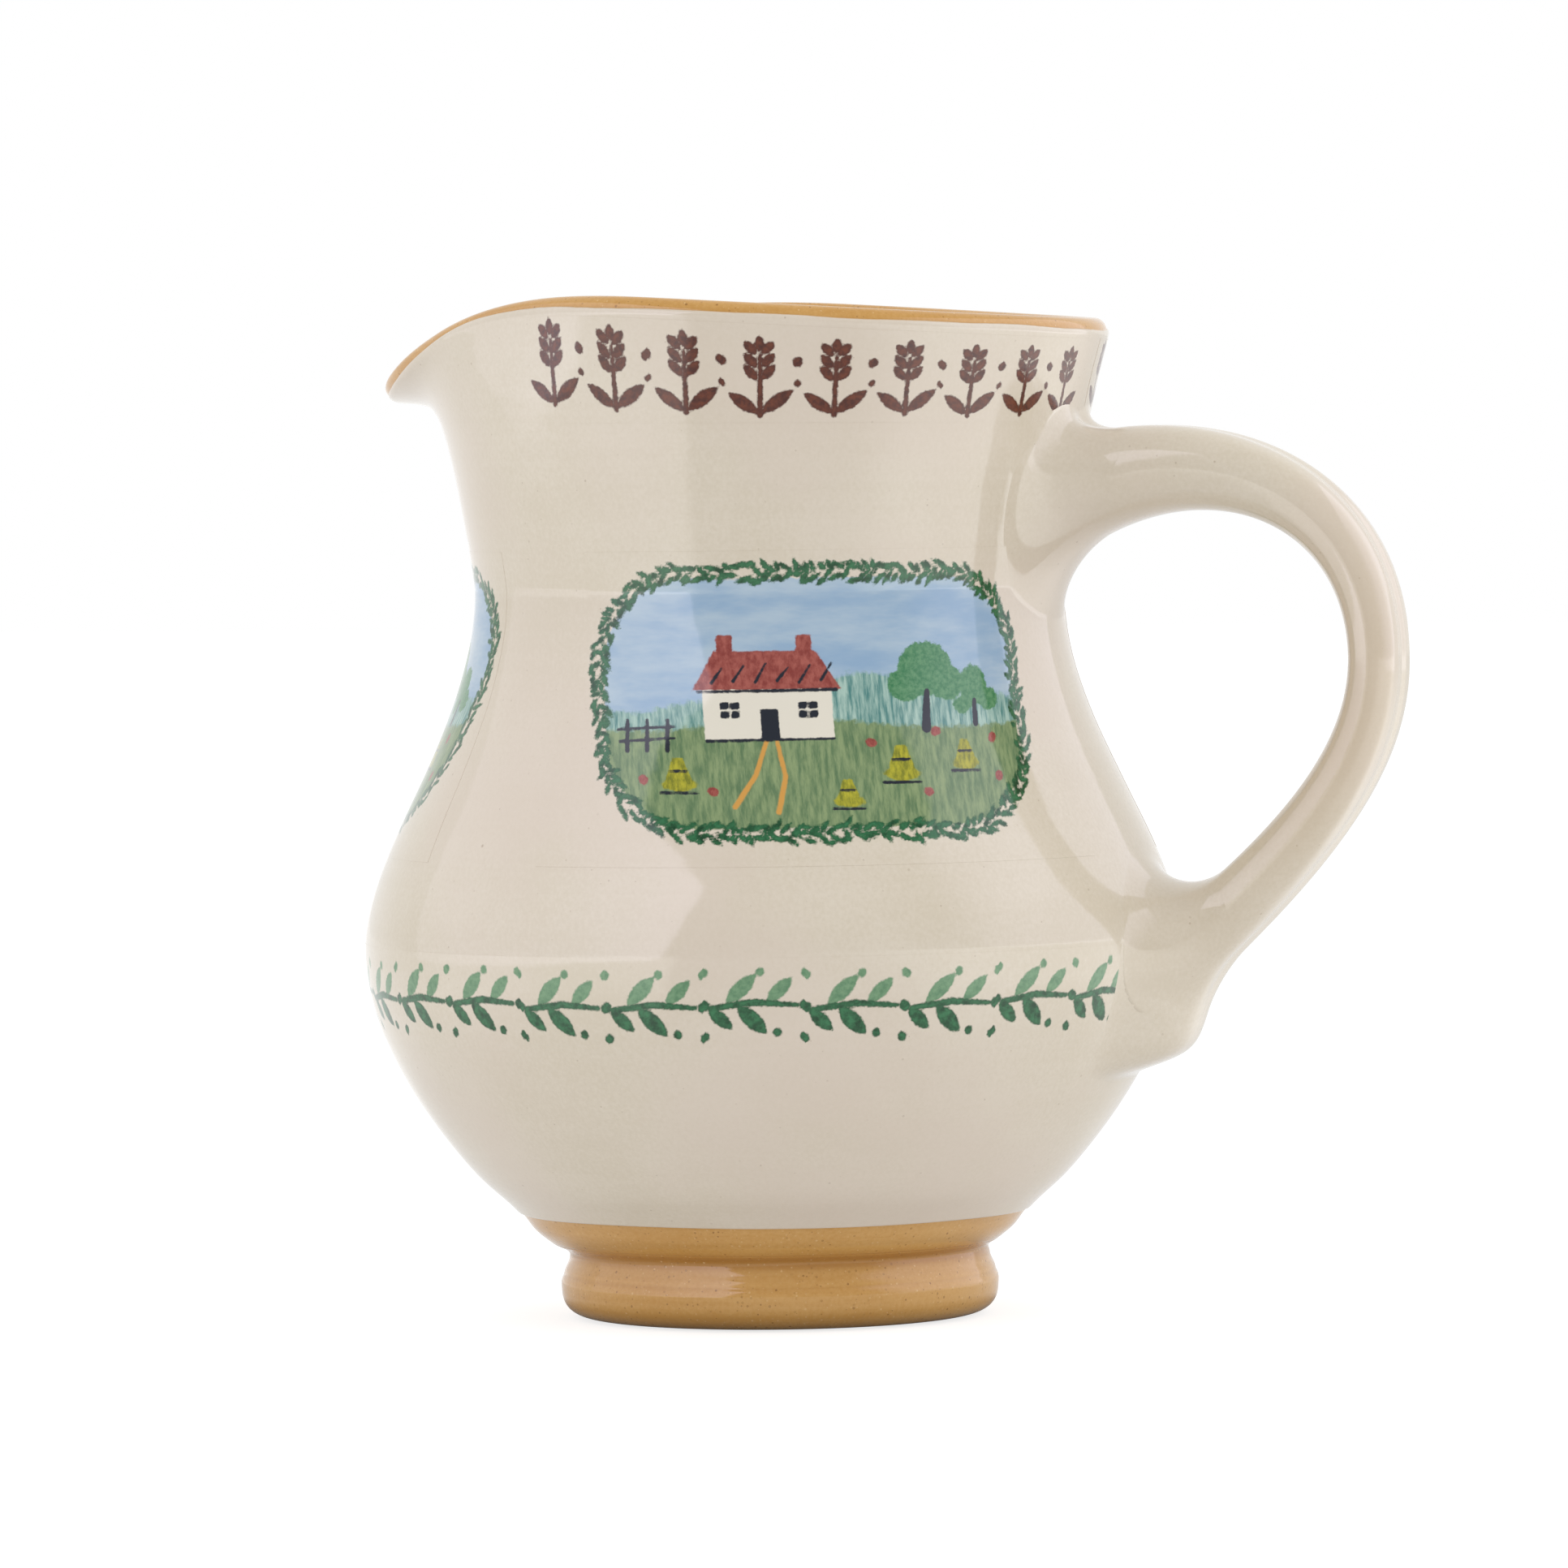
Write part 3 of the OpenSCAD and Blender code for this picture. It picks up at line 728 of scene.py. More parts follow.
def padRise(y, z):
    # the tail's thickness over the belly: half a cosine wave of a distance from its middle, which grows
    # slowly at first downwards, evenly upwards and across
    down = above((tail["middle"] - z) / (tail["middle"] - tail["bottom"])) ** tail["downPower"]
    up = above((z - tail["middle"]) / (tail["top"] - tail["middle"])) ** tail["upPower"]
    rho = np.hypot(down + up, np.abs(y / tail["halfWidth"]) ** tail["sidePower"])
    return tail["thick"] * fade(rho) ** tail["toePower"]


def sideX(y, z, lift, pad=False):
    # X of the pot's outer face on the handle's side, at a width and a height
    h = np.array(z, float)
    for _ in range(4):
        h = z + pot["rimRise"] * lipClimb(h) ** 2
    plain = plainRadius(h)
    slant = (plainRadius(h + 0.01) - plainRadius(h - 0.01)) / 0.02
    angle = 180 + np.degrees(np.arcsin(np.clip(y / plain, -1, 1)))
    r = plain + ripple(angle, h) + lift * np.hypot(1, slant)
    if pad:
        r = r + padRise(y, z)
    return middleX(h) + np.sqrt(np.maximum(r ** 2 - y ** 2, 1.0))


rootHeight = pot["rimHeight"] - strap["rootDrop"]
bowHeight = pot["bellyHeight"] + strap["bowRise"]
heelHeight = pot["bellyHeight"] - strap["heelDrop"]
reachX = pot["bellyRadius"] + strap["out"]
rootX, heelX = (float(middleX(h) + plainRadius(h)) - pot["wall"] for h in (rootHeight, heelHeight))
bowX, heelRise = reachX - heelX, bowHeight - heelHeight
upperCurve = np.array([[rootX, rootHeight],
                       [rootX + 0.43 * (reachX - rootX), rootHeight + strap["crownRise"]],
                       [reachX, rootHeight + 0.4 * strap["crownRise"]], [reachX, bowHeight]])
lowerCurve = np.array([[reachX, bowHeight], [reachX, bowHeight - 0.38 * heelRise],
                       [heelX + 0.5 * bowX, heelHeight + 0.33 * heelRise], [heelX, heelHeight]])


def strapLine(s):
    # two cubic Bezier curves end to end, with the way along them
    t = np.where(s < 0.5, 2 * s, 2 * s - 1)[..., None]
    p = [np.where((s < 0.5)[..., None], upperCurve[k], lowerCurve[k]) for k in range(4)]
    q = 1 - t
    at = q ** 3 * p[0] + 3 * t * q ** 2 * p[1] + 3 * t ** 2 * q * p[2] + t ** 3 * p[3]
    way = q ** 2 * (p[1] - p[0]) + 2 * t * q * (p[2] - p[1]) + t ** 2 * (p[3] - p[2])
    return at, unit(way)


def strapPoint(s, phi):
    # a superellipse across the line, a groove along its outside, a ridge on each shoulder
    # and faint streaks from the pulling; phi is 0 on the outside and 180 inside the loop
    s, phi = grids(s, phi)
    at, way = strapLine(s)
    a = (strap["thick"] + strap["rootThick"] * above(1 - 2 * s) ** strap["rootPower"]
         + strap["heelThick"] * above(2 * s - 1) ** strap["heelPower"]) / 2
    b = (strap["wide"] + strap["rootWide"] * above(1 - 2 * s) ** strap["rootPower"]) / 2
    c, d = np.cos(np.radians(phi)), np.sin(np.radians(phi))
    r = (np.abs(c / a) ** strap["square"] + np.abs(d / b) ** strap["square"]) ** (-1 / strap["square"])
    middle = fade((s - 0.55) / 0.5)
    r = r + strap["ridge"] * bell(fromLip(phi), strap["shoulder"], strap["shoulderSpread"]) * middle
    r = r + strap["streak"] * np.sin(np.radians(phi) * strap["streaks"] + 3 * s) * middle
    across = r * c - strap["groove"] * above(c) ** strap["groovePower"]
    return together(at[..., 0] - way[..., 1] * across, -r * d, at[..., 1] + way[..., 0] * across)


def meet(phi, span, depth, pad):
    # where the strap's long lines meet the face of the pot at that depth, by halving the span
    inside, outside = (np.full(phi.shape, end) for end in span)
    for _ in range(40):
        s = (inside + outside) / 2
        p = strapPoint(s, phi)
        out = p[..., 0] - sideX(p[..., 1], p[..., 2], slip["thick"] - depth, pad) > 0
        inside, outside = np.where(out, inside, s), np.where(out, s, outside)
    return (inside + outside) / 2


def makeStrap():
    # long lines from one end to the other, evenly spaced round the strap
    phi = roundAngles(strap["sides"])
    start, end = (meet(phi, strap[span], strap["sunk"], False) for span in ("rootSpan", "heelSpan"))
    share = levels((0, 1, strap["rows"]))
    s = start + (end - start) * share
    return makePatch(strapPoint(s, phi[None, :]), poles=(0, 1), values={"tan": shadeAndThinSlip(s, phi[None, :])})


def shadeAndThinSlip(s, phi):
    # tan on the strap's flanks, strongest inside the loop: painted shade as bells near the heel and the root,
    # and a thinner slip as half a cosine wave at the bow
    side = np.abs(np.sin(np.radians(phi))) ** 2 * (0.75 - 0.25 * np.cos(np.radians(phi)))
    heel, root = (size * bell(s, at, spread) for size, at, spread in (shadeAndThinSlipMarks["heel"], shadeAndThinSlipMarks["root"]))
    size, at, spread = shadeAndThinSlipMarks["bow"]
    return side * (heel + root + size * fade((s - at) / spread))


def makeFillet(span, speed, pad, reach, climb):
    # a Bezier curve from the strap to the wall round each meeting point, its middle controls on the two
    # surfaces: reach along the wall and climb up the strap, for the outside, the inside and the flanks
    phi = roundAngles(strap["sides"])
    c, d = np.cos(np.radians(phi)), np.sin(np.radians(phi))

    def mixed(outside, inside, flank):
        # shares by the squares of the cosine and the sine
        return outside * above(c) ** 2 + inside * above(-c) ** 2 + flank * d ** 2

    reach, climb = mixed(*reach), mixed(*climb)
    s = meet(phi, span, 0.0, pad)
    flat = strapPoint(s, phi)[:, 1:]
    along = (1 if span[1] > span[0] else -1) / speed
    tangent = np.roll(flat, -1, 0) - np.roll(flat, 1, 0)
    normal = unit(together(tangent[:, 1], -tangent[:, 0]))
    normal = normal * np.sign(((flat - flat.mean(0)) * normal).sum(-1, keepdims=True))

    def onWall(distance, lift):
        p = flat + normal * distance[:, None]
        return together(sideX(p[:, 0], p[:, 1], slip["thick"] + lift, pad), p[:, 0], p[:, 1])

    def onStrap(distance, lift):
        # moved from the strap's middle line by the lift
        at = strapLine(s + distance * along)[0]
        middle = together(at[:, 0], 0 * phi, at[:, 1])
        p = strapPoint(s + distance * along, phi)
        return p + unit(p - middle) * lift

    t = np.linspace(0, 1, 30)[:, None, None]
    start, finish = onStrap(climb, 0.01), onWall(reach, 0.01)
    first, last = onStrap(0.4 * climb, 0.01), onWall(0.4 * reach, 0.01)
    upper = (1 - t) ** 3 * start + 3 * (1 - t) ** 2 * t * first
    curve = upper + 3 * (1 - t) * t ** 2 * last + t ** 3 * finish
    # both ends run on just under the surface, shaded like it, and the back follows the corner
    rows = [onStrap(climb + 1.4, -1.2), onStrap(climb + 1.3, -0.05), onStrap(climb + 0.7, -0.01), *curve,
            onWall(reach + 0.7, -0.005), onWall(reach + 1.3, -0.03), onWall(reach + 1.4, -1.3),
            onWall(0.5 * reach, -1.3), onWall(0 * reach - 1.3, -1.3)]
    # the tan, painted shade by the joint, runs on from the strap into the corner and fades out towards the
    # wall
    share = np.linspace(1, 0, len(rows))[:, None] ** 0.6
    return makePatch(np.stack(rows), loop=True, front=len(rows) - 3,
                     values={"tan": shadeAndThinSlip(s + climb * along, phi) * share})


def makeTail():
    # rings of a superellipse over the belly, from the middle out to where the tail ends, closed
    # under the wall
    t = np.radians(roundAngles(tail["sides"]))
    rho = levels((0.02, 0.8, 30), (0.82, 1.04, 24))
    square = tail["square"]
    shape = (np.abs(np.cos(t)) ** square + np.abs(np.sin(t)) ** square) ** (-1 / square)
    middle, half = (tail["bottom"] + tail["top"]) / 2, (tail["top"] - tail["bottom"]) / 2
    y = rho * tail["halfWidth"] * shape * np.cos(t)
    z = middle + rho * half * shape * np.sin(t)
    top = together(sideX(y, z, slip["thick"] - 0.012, True), y, z)
    y2, z2 = y[[-1, 30, 0]], z[[-1, 30, 0]]
    under = together(sideX(y2, z2, -1.0), y2, z2)
    return makePatch(join([top, under]), poles=(0, 1), front=len(top), values={"tan": np.zeros(())})


# the strap's length in millimetres for one unit of s, at each end, and the fillets' sizes
blends = {
    "root": {"span": strap["rootSpan"], "speed": 172.0, "pad": False, "reach": (5.0, 8.5, 10.0),
             "climb": (9.0, 13.0, 13.0)},
    "heel": {"span": strap["heelSpan"], "speed": 171.0, "pad": True, "reach": (5.0, 10.0, 8.0),
             "climb": (6.0, 12.0, 10.0)},
}
buildPiece("strapHandle", [makeStrap()], creamPlain, ["handle"])
buildPiece("rootCollar", [makeFillet(**blends["root"])], creamPlain, ["handle_collar"])
buildPiece("heelTail", [makeTail(), makeFillet(**blends["heel"])], creamPlain, ["handle_tail"])
print("Pot and handle built")

# Painted decoration: thin painted skins, a few hundredths of a millimetre over the slip

decoration = {"lift": 0.035, "sunk": 0.12, "panelStep": 0.36, "neckStep": 0.32, "bellyStep": 0.34}


def arcLength(h):
    # distance up the wall's outline from the base, by adding up short slanting steps
    fine = np.linspace(pot["baseHeight"], pot["rimHeight"], 3000)
    r = plainRadius(fine)
    run = join([[0], np.cumsum(np.hypot(np.diff(r), np.diff(fine)))])
    return np.interp(h, fine, run)


def makeSkin(firstAngle, lastAngle, lowHeight, highHeight, step, draw):
    # a sheet of the wall between two angles and two heights, with a back and edges; draw gives its paint
    midAngle, midHeight = (firstAngle + lastAngle) / 2, (lowHeight + highHeight) / 2
    n = int(math.radians(lastAngle - firstAngle) * float(plainRadius(midHeight)) / step)
    m = int((arcLength(highHeight) - arcLength(lowHeight)) / step)
    angle = np.linspace(firstAngle, lastAngle, n)[None, :]
    h = levels((lowHeight, highHeight, m))
    top = wallAt(angle, h, slip["thick"] + decoration["lift"])
    back = wallAt(angle, h, slip["thick"] - decoration["sunk"])
    u = np.radians(angle - midAngle) * (plainRadius(h) + slip["thick"])
    v = arcLength(h) - arcLength(midHeight) + 0 * u
    drawn = draw(u, v, angle + 0 * h)
    drawn["flat"] = together(u, v, 0 * u + midAngle)
    rows = join([top, back[:, ::-1]], 1)
    values = {k: join([a, a[:, ::-1]], 1) for k, a in drawn.items()}
    values = {k: a if a.ndim == 3 else a[..., None] for k, a in values.items()}
    sharp = np.zeros((m, 2 * n), bool)
    sharp[:, [0, n - 1]] = True
    sharp[[0, -1], :n] = True
    patch = makePatch(rows, flatEnds=True, values=values, sharp=sharp.ravel())
    # the map: the painted face fills it, and the back and edges share one corner
    row, col = patch["quads"] // (2 * n), patch["quads"] % (2 * n)
    isFront = (col < n).all(1) & (row.max(1) - row.min(1) == 1)
    patch["uv"] = np.where(isFront[:, None, None],
                           together(0.01 + 0.98 * col / (n - 1), 0.01 + 0.96 * row / (m - 1)),
                           together(0.98 + 0.01 * (col % 2), 0.985 + 0.01 * (row % 2)))
    return patch


# Distances in the drawing's plane: negative inside the paint, in millimetres

def turned(u, v, cu, cv, turn):
    # the distances along and across a line that goes through a middle and is turned by an angle
    t = np.radians(turn)
    return (u - cu) * np.cos(t) + (v - cv) * np.sin(t), (v - cv) * np.cos(t) - (u - cu) * np.sin(t)


def dab(u, v, cu, cv, a, b, turn=0.0):
    # an ellipse: its scaled radius less one, times its smaller half width
    x, y = turned(u, v, cu, cv, turn)
    return (np.hypot(x / a, y / b) - 1) * min(a, b)


def leafShape(u, v, cu, cv, long, half, turn):
    # two circles that overlap: the greater of the two distances
    x, y = turned(u, v, cu, cv, turn)
    big = (long * long + half * half) / (2 * half)
    return np.maximum(np.hypot(x, y - half + big), np.hypot(x, y + half - big)) - big


def stroke(u, v, u0, v0, u1, v1, w0, w1):
    # a brush stroke: distance to a straight line less a half width that changes along it
    du, dv = u1 - u0, v1 - v0
    t = np.clip(((u - u0) * du + (v - v0) * dv) / (du * du + dv * dv), 0, 1)
    return np.hypot(u - u0 - t * du, v - v0 - t * dv) - (w0 + (w1 - w0) * t)


def block(u, v, cu, cv, hw, hh):
    # a box with slightly soft corners
    soft = 0.25
    x, y = np.abs(u - cu) - hw + soft, np.abs(v - cv) - hh + soft
    return np.hypot(np.maximum(x, 0), np.maximum(y, 0)) + np.minimum(np.maximum(x, y), 0) - soft


def poly(u, v, points):
    # a convex outline, anticlockwise: the greatest distance outside its sides
    sides = [((u - x0) * (y1 - y0) - (v - y0) * (x1 - x0)) / math.hypot(x1 - x0, y1 - y0)
             for (x0, y0), (x1, y1) in zip(points, points[1:] + points[:1])]
    return reduce(np.maximum, sides)


def union(*shapes):
    # shapes together: the least of their distances
    return reduce(np.minimum, shapes)


def many(shape, u, v, rows):
    # the union of shapes of one kind: each row holds the rest of a shape's values
    return union(*(shape(u, v, *row) for row in rows))


panel = {
    "span": 92.0, "low": 77.5, "high": 128.5, "halfWide": 37.6, "halfHigh": 22.3, "corner": 16.0,
    "inset": 0.9, "spacing": 1.05, "row": 0.85, "leafLong": 1.3, "leafHalf": 0.5, "leafTurn": 37,
    "jitter": 0.28,
    "places": {"Lip": (0.0, 3), "Front": (116.8, 5), "Back": (240.0, 8)},  # middle angle, random seed
}
# the picture's parts, in the order of the values that their shapes take
cottage = {
    "walls": (-9.0, -1.2, 10.6, 4.6),
    "roof": [(-21.2, 2.9), (3.2, 2.9), (-0.6, 9.4), (-17.4, 9.4)],
    "stacks": ((-15.6, 10.4, 1.3, 1.7), (-2.6, 10.4, 1.3, 1.7)),
    "openings": ((-8.8, -3.1, 1.5, 2.7), (-15.2, -0.6, 1.6, 1.4), (-2.4, -0.6, 1.6, 1.4)),
    "panes": ((-15.2, -2.0, -15.2, 0.8, 0.16, 0.16), (-16.8, -0.6, -13.6, -0.6, 0.16, 0.16),
              (-2.4, -2.0, -2.4, 0.8, 0.16, 0.16), (-4.0, -0.6, -0.8, -0.6, 0.16, 0.16)),
    "eaves": ((-20.4, 2.6, 2.4, 2.8, 0.24, 0.3), (-19.4, -5.9, 1.6, -5.7, 0.3, 0.22)),
    "thatch": [(3.6 * k - 18.0, 4.1 + 0.3 * (k % 2), 3.6 * k - 18.0 + 1.9, 6.6 + 0.4 * (k % 3), 0.3, 0.18)
               for k in range(6)],
    "posts": [(x, -7.5, x + 0.3, -2.2, 0.4, 0.32) for x in (-33.0, -29.5, -26.0)],
    "rails": ((-34.5, -3.8, -24.5, -3.3, 0.28, 0.24), (-34.3, -5.9, -24.6, -5.3, 0.28, 0.24)),
    "trunks": ((17.6, -4.2, 18.2, 2.2, 0.9, 0.5), (27.4, -3.6, 27.6, 0.4, 0.6, 0.4)),
    "leaves": ((18.2, 6.0, 5.2, 4.6), (14.4, 3.4, 3.3, 2.9), (22.2, 3.6, 3.4, 3.0),
               (27.6, 3.0, 2.9, 3.4), (25.0, -0.4, 1.8, 1.5), (30.6, 0.6, 2.2, 2.0)),
    "stooks": ((12.5, -10.5, 1.0), (24.5, -9.2, 0.85), (-24.5, -12.0, 0.95), (3.0, -15.6, 0.8)),
    "path": ((-9.6, -6.0, -11.8, -12.0, 0.34, 0.4), (-7.9, -6.0, -7.0, -12.4, 0.34, 0.4),
             (-11.8, -12.0, -15.6, -17.6, 0.4, 0.45), (-7.0, -12.4, -8.6, -18.6, 0.4, 0.45)),
    "poppies": [(x, y, 0.95, 0.8, 20 * x) for x, y in ((-30.5, -12.6), (-19.0, -14.8), (16.8, -15.4),
                (30.6, -6.2), (19.2, -4.8), (7.6, -6.6), (31.0, -13.0))],
}


def frameCurve(count):
    # points spaced evenly round a rectangle with large round corners
    t, c = np.linspace(0, 2 * np.pi, 4000, endpoint=False), panel["corner"]
    arcs = np.stack([np.sign(wave) * (half - c) + c * wave
                     for wave, half in ((np.cos(t), panel["halfWide"]), (np.sin(t), panel["halfHigh"]))], -1)
    arcs = np.vstack([arcs, arcs[:1]])
    run = join([[0], np.cumsum(np.hypot(*np.diff(arcs, axis=0).T))])
    at = np.linspace(0, run[-1], count, endpoint=False)
    return np.stack([np.interp(at, run, arcs[:, k]) for k in (0, 1)], -1), run[-1]


def drawWreath(u, v, chance):
    # two rows of small leaves round the panel, each turned off the way round and jittered
    found = []
    centres = frameCurve(int(frameCurve(8)[1] / panel["spacing"]))[0]
    ways = unit(np.roll(centres, -1, 0) - np.roll(centres, 1, 0))
    for (x, y), (p, q) in zip(centres, ways):
        for side in (-1, 1):
            jitter = chance.normal(0, panel["jitter"], 5)
            off = side * (panel["row"] + jitter[0])
            turn = math.degrees(math.atan2(q, p)) - side * panel["leafTurn"] + 70 * jitter[1]
            found.append((x + q * off + jitter[2], y - p * off + jitter[3],
                          panel["leafLong"] + 0.8 * jitter[4], panel["leafHalf"], turn))
    return many(leafShape, u, v, found)


def drawPanel(seed):
    # a cottage in a meadow inside the wreath: one distance for each layer of paint
    chance = np.random.default_rng(seed)

    def draw(u, v, angle):
        beyond = [np.maximum(np.abs(w) - panel[half] + panel["corner"], 0)
                  for w, half in ((u, "halfWide"), (v, "halfHigh"))]
        openings = np.maximum(many(block, u, v, cottage["openings"]), -many(stroke, u, v, cottage["panes"]))
        lines = [row for part in ("eaves", "thatch", "posts", "rails", "trunks") for row in cottage[part]]
        stooks = []
        for x, y, k in cottage["stooks"]:
            sheaf = [(x + p * k, y + q * k) for p, q in ((-2.9, -2.2), (2.9, -2.2), (0.9, 3.4), (-0.9, 3.4))]
            stooks += [poly(u, v, sheaf), dab(u, v, x, y - 1.6 * k, 3.1 * k, 1.3 * k)]
            lines += [(x - 1.5 * k, y + 0.9 * k, x + 1.5 * k, y + 0.9 * k, 0.26, 0.26),
                      (x - 3.4 * k, y - 3.1 * k, x + 3.2 * k, y - 3.2 * k, 0.3, 0.22)]
        return {
            "border": drawWreath(u, v, chance),
            "inside": np.hypot(*beyond) - panel["corner"] + panel["inset"],
            # the hill's and the meadow's edges are sine waves across the panel
            "hill": v - (2.2 + 2.4 * np.sin(u / 11 + 0.9) + 0.9 * np.sin(u / 4.3)),
            "meadow": v - (-3.2 + 0.9 * np.sin(u / 9 + 2.0)),
            "walls": block(u, v, *cottage["walls"]),
            "roof": union(poly(u, v, cottage["roof"]), many(block, u, v, cottage["stacks"]),
                          many(dab, u, v, cottage["poppies"])),
            "dark": union(openings, many(stroke, u, v, lines)),
            "leaves": many(dab, u, v, cottage["leaves"]),
            "stooks": union(*stooks),
            "path": many(stroke, u, v, cottage["path"]),
        }
    return draw


neckRow = {
    "first": 61.7, "last": 176.6, "low": 149.4, "high": 166.2, "repeats": 9, "radius": 54.6,
    "climb": 1.9, "climbSpread": 40, "bareEnds": 2,
}
bellyRow = {"first": -168.0, "low": 47.6, "high": 63.2, "repeats": 6, "span": 84.0, "radius": 67.3}


def repeatAt(angle, row, step):
    # which repeat of a row an angle is in, the way from its middle and the way from its nearer end
    scale = np.radians(step) * row["radius"]
    x = (((angle - row["first"]) % step) / step - 0.5) * scale
    return np.floor((angle - row["first"]) / step), x, scale / 2 - np.abs(x)


def drawEars(u, v, angle):
    # ears of corn: pairs of grains up a stem, with two berries between neighbours but none at the ends
    first, last = neckRow["first"], neckRow["last"]
    index, x, edge = repeatAt(angle, neckRow, (last - first) / neckRow["repeats"])
    # the row climbs towards the lip
    climb = neckRow["climb"] * fade((angle - first) / neckRow["climbSpread"])
    v = v + 0.5 + 0.2 * np.sin(index * 2.3) - climb
    leaves = [(0.1, 5.7, 1.5, 0.8, 90), (2.8, -4.3, 3.4, 1.15, 38), (-2.6, -4.7, 3.1, 1.1, 144)]
    for j in range(3):
        y, w = 2.15 * j - 0.1, 1.8 - 0.12 * j
        leaves += [(1.4, y + 0.8, w, 0.86, 50), (-1.35, y + 0.7, w, 0.86, 130)]
    berries = many(dab, edge, v, ((0.0, 2.6, 0.85, 0.95), (0.0, -1.2, 0.6, 0.65)))
    atEnd = (angle < first + neckRow["bareEnds"]) | (angle > last - neckRow["bareEnds"])
    return {"stamp": union(stroke(x, v, 0.0, -6.7, 0.15, 3.6, 0.52, 0.34), many(leafShape, x, v, leaves),
                           np.where(atEnd, 9.0, berries))}


def drawLaurel(u, v, angle):
    # a chain of leaf pairs on a level stem, with a berry at each joint and a dot over and under it
    index, x, edge = repeatAt(angle, bellyRow, bellyRow["span"] / bellyRow["repeats"])
    v = v + 0.3 * np.sin(index * 1.9)
    stem = many(stroke, x, v, ((-7.0, -0.5, 0.0, 0.4, 0.5, 0.62), (0.0, 0.4, 6.8, -0.1, 0.62, 0.4)))
    up = many(leafShape, x, v, ((-2.2, 2.6, 3.4, 1.3, 44), (4.0, 2.4, 2.9, 1.15, 44)))
    down = many(leafShape, x, v, ((-0.4, -2.5, 3.4, 1.4, -44), (-5.6, -2.3, 2.7, 1.15, -42)))
    joints = many(dab, edge, v, ((0.0, -0.1, 1.0, 0.95), (0.0, -5.3, 0.8, 0.85)))
    high = union(dab(edge, v, 0.0, 5.2, 0.8, 0.8), dab(x, v, 0.9, 5.3, 0.7, 0.75))
    return {"stamp": union(stem, down, joints, dab(x, v, 3.7, -4.6, 0.75, 0.8)), "upper": union(up, high)}


def makeMask():
    # paint's edge: the distance, made to waver by noise, goes from full paint to none over a soft width
    tree, given, out = newGroup("paintEdge", {"Distance": 0.0, "Soft": 0.15, "Waver": 0.4, "Grain": 1.1},
                                {"Mask": 0.0})
    noise = grainOf(measure(tree, "flat", "Vector"), given["Grain"], 3.0, 0.6) - 0.5
    moved = given["Distance"] + noise * given["Waver"]
    connect([ramp(moved, given["Soft"], given["Soft"] * -1.0)], out)
    return tree


def makeWash():
    # a wash of colour: two or three tones by noise in the drawing's plane, drawn out along one way,
    # and darker where the paint gathers at its edge
    tree, given, out = newGroup("paintWash", {"Light": white, "Dark": white, "Along": (1.0, 1.0, 1.0),
                                              "Distance": -9.0, "Gather": 0.0}, {"Color": white})
    flat = measure(tree, "flat", "Vector")
    drawn = place(tree, "VectorMath", {0: flat, 1: given["Along"]}, operation="MULTIPLY")
    tone = ramp(grainOf(drawn, 1.0, 4.0, 0.62), 0.3, 0.7)
    gather = ramp(given["Distance"], -0.55, -0.05) * given["Gather"]
    connect([blendColour(reckon(tree, "MAXIMUM", tone, gather), given["Light"], given["Dark"])], out)
    return tree


paintEdge = makeMask()
paintWash = makeWash()


# Layers of paint, the lowest first: name of the distance, light and dark colour, softness and waver of the
# edge, how the wash is drawn out, how much it gathers at the edge, strength, grain of the edge
skyLayers = (
    ("hill", "hillPale", "hill", 0.5, 2.6, (1.5, 0.2, 1.0), 0.1, 0.97, 0.9),
    ("meadow", "meadowPale", "meadow", 0.5, 2.4, (1.2, 0.24, 1.0), 0.0, 0.97, 0.9),
)
panelLayers = (
    ("walls", "wallPale", "wallPale", 0.12, 0.4),
    ("leaves", "leafPale", "leaf", 0.2, 1.5, (1.3, 1.3, 1.0), 0.3),
    ("stooks", "yellow", "yellowDark", 0.16, 0.7, (1.4, 0.5, 1.0), 0.3),
    ("path", "ochre", "ochre", 0.16, 0.3),
    ("roof", "brickPale", "brick", 0.16, 0.7, (1.0, 0.6, 1.0), 0.5),
    ("dark", "navy", "navy", 0.12, 0.4),
    ("border", "leaf", "leafDark", 0.2, 0.9, (0.5, 0.5, 1.0), 0.6, 1.0, 1.6),
)
earsLayers = (("stamp", "brownPale", "brown", 0.17, 0.6, (0.8, 0.8, 1.0), 0.8, 1.0, 1.5),)
laurelLayers = (
    ("upper", "leafPale", "leaf", 0.18, 0.6, (0.9, 0.9, 1.0), 0.5, 0.9, 1.5),
    ("stamp", "leaf", "leafDark", 0.18, 0.6, (0.6, 0.6, 1.0), 0.7, 1.0, 1.5),
)


def lay(tree, under, name, light, dark, soft, waver, along=(1.2, 1.2, 1.0), gather=0.4, strength=1.0,
        grain=1.1):
    # one layer of paint over what is under it
    far = measure(tree, name)
    mask = useGroup(tree, paintEdge, {"Distance": far, "Soft": soft, "Waver": waver, "Grain": grain})["Mask"]
    wash = useGroup(tree, paintWash, {"Light": paints[light], "Dark": paints[dark], "Along": along,
                                      "Distance": far, "Gather": gather})["Color"]
    return blendColour(mask * strength, under, wash)


def painted(layers, behind=()):
    # a glaze with layers of paint; the layers behind are a picture that fills the panel's inside

    def buildColour(tree):
        cream = useGroup(tree, creamSlip, {"Thin": 0.0})
        colour = cream["Color"]
        if behind:
            picture = useGroup(tree, paintWash, {"Light": paints["skyPale"], "Dark": paints["sky"],
                                                 "Along": (0.05, 0.16, 1.0)})["Color"]
            for layer in behind:
                picture = lay(tree, picture, *layer)
            far = measure(tree, "inside")
            inside = useGroup(tree, paintEdge, {"Distance": far, "Soft": 0.2, "Waver": 1.2})["Mask"]
            colour = blendColour(inside, colour, picture)
        for layer in layers:
            colour = lay(tree, colour, *layer)
        return colour, cream["Height"]
    return buildColour


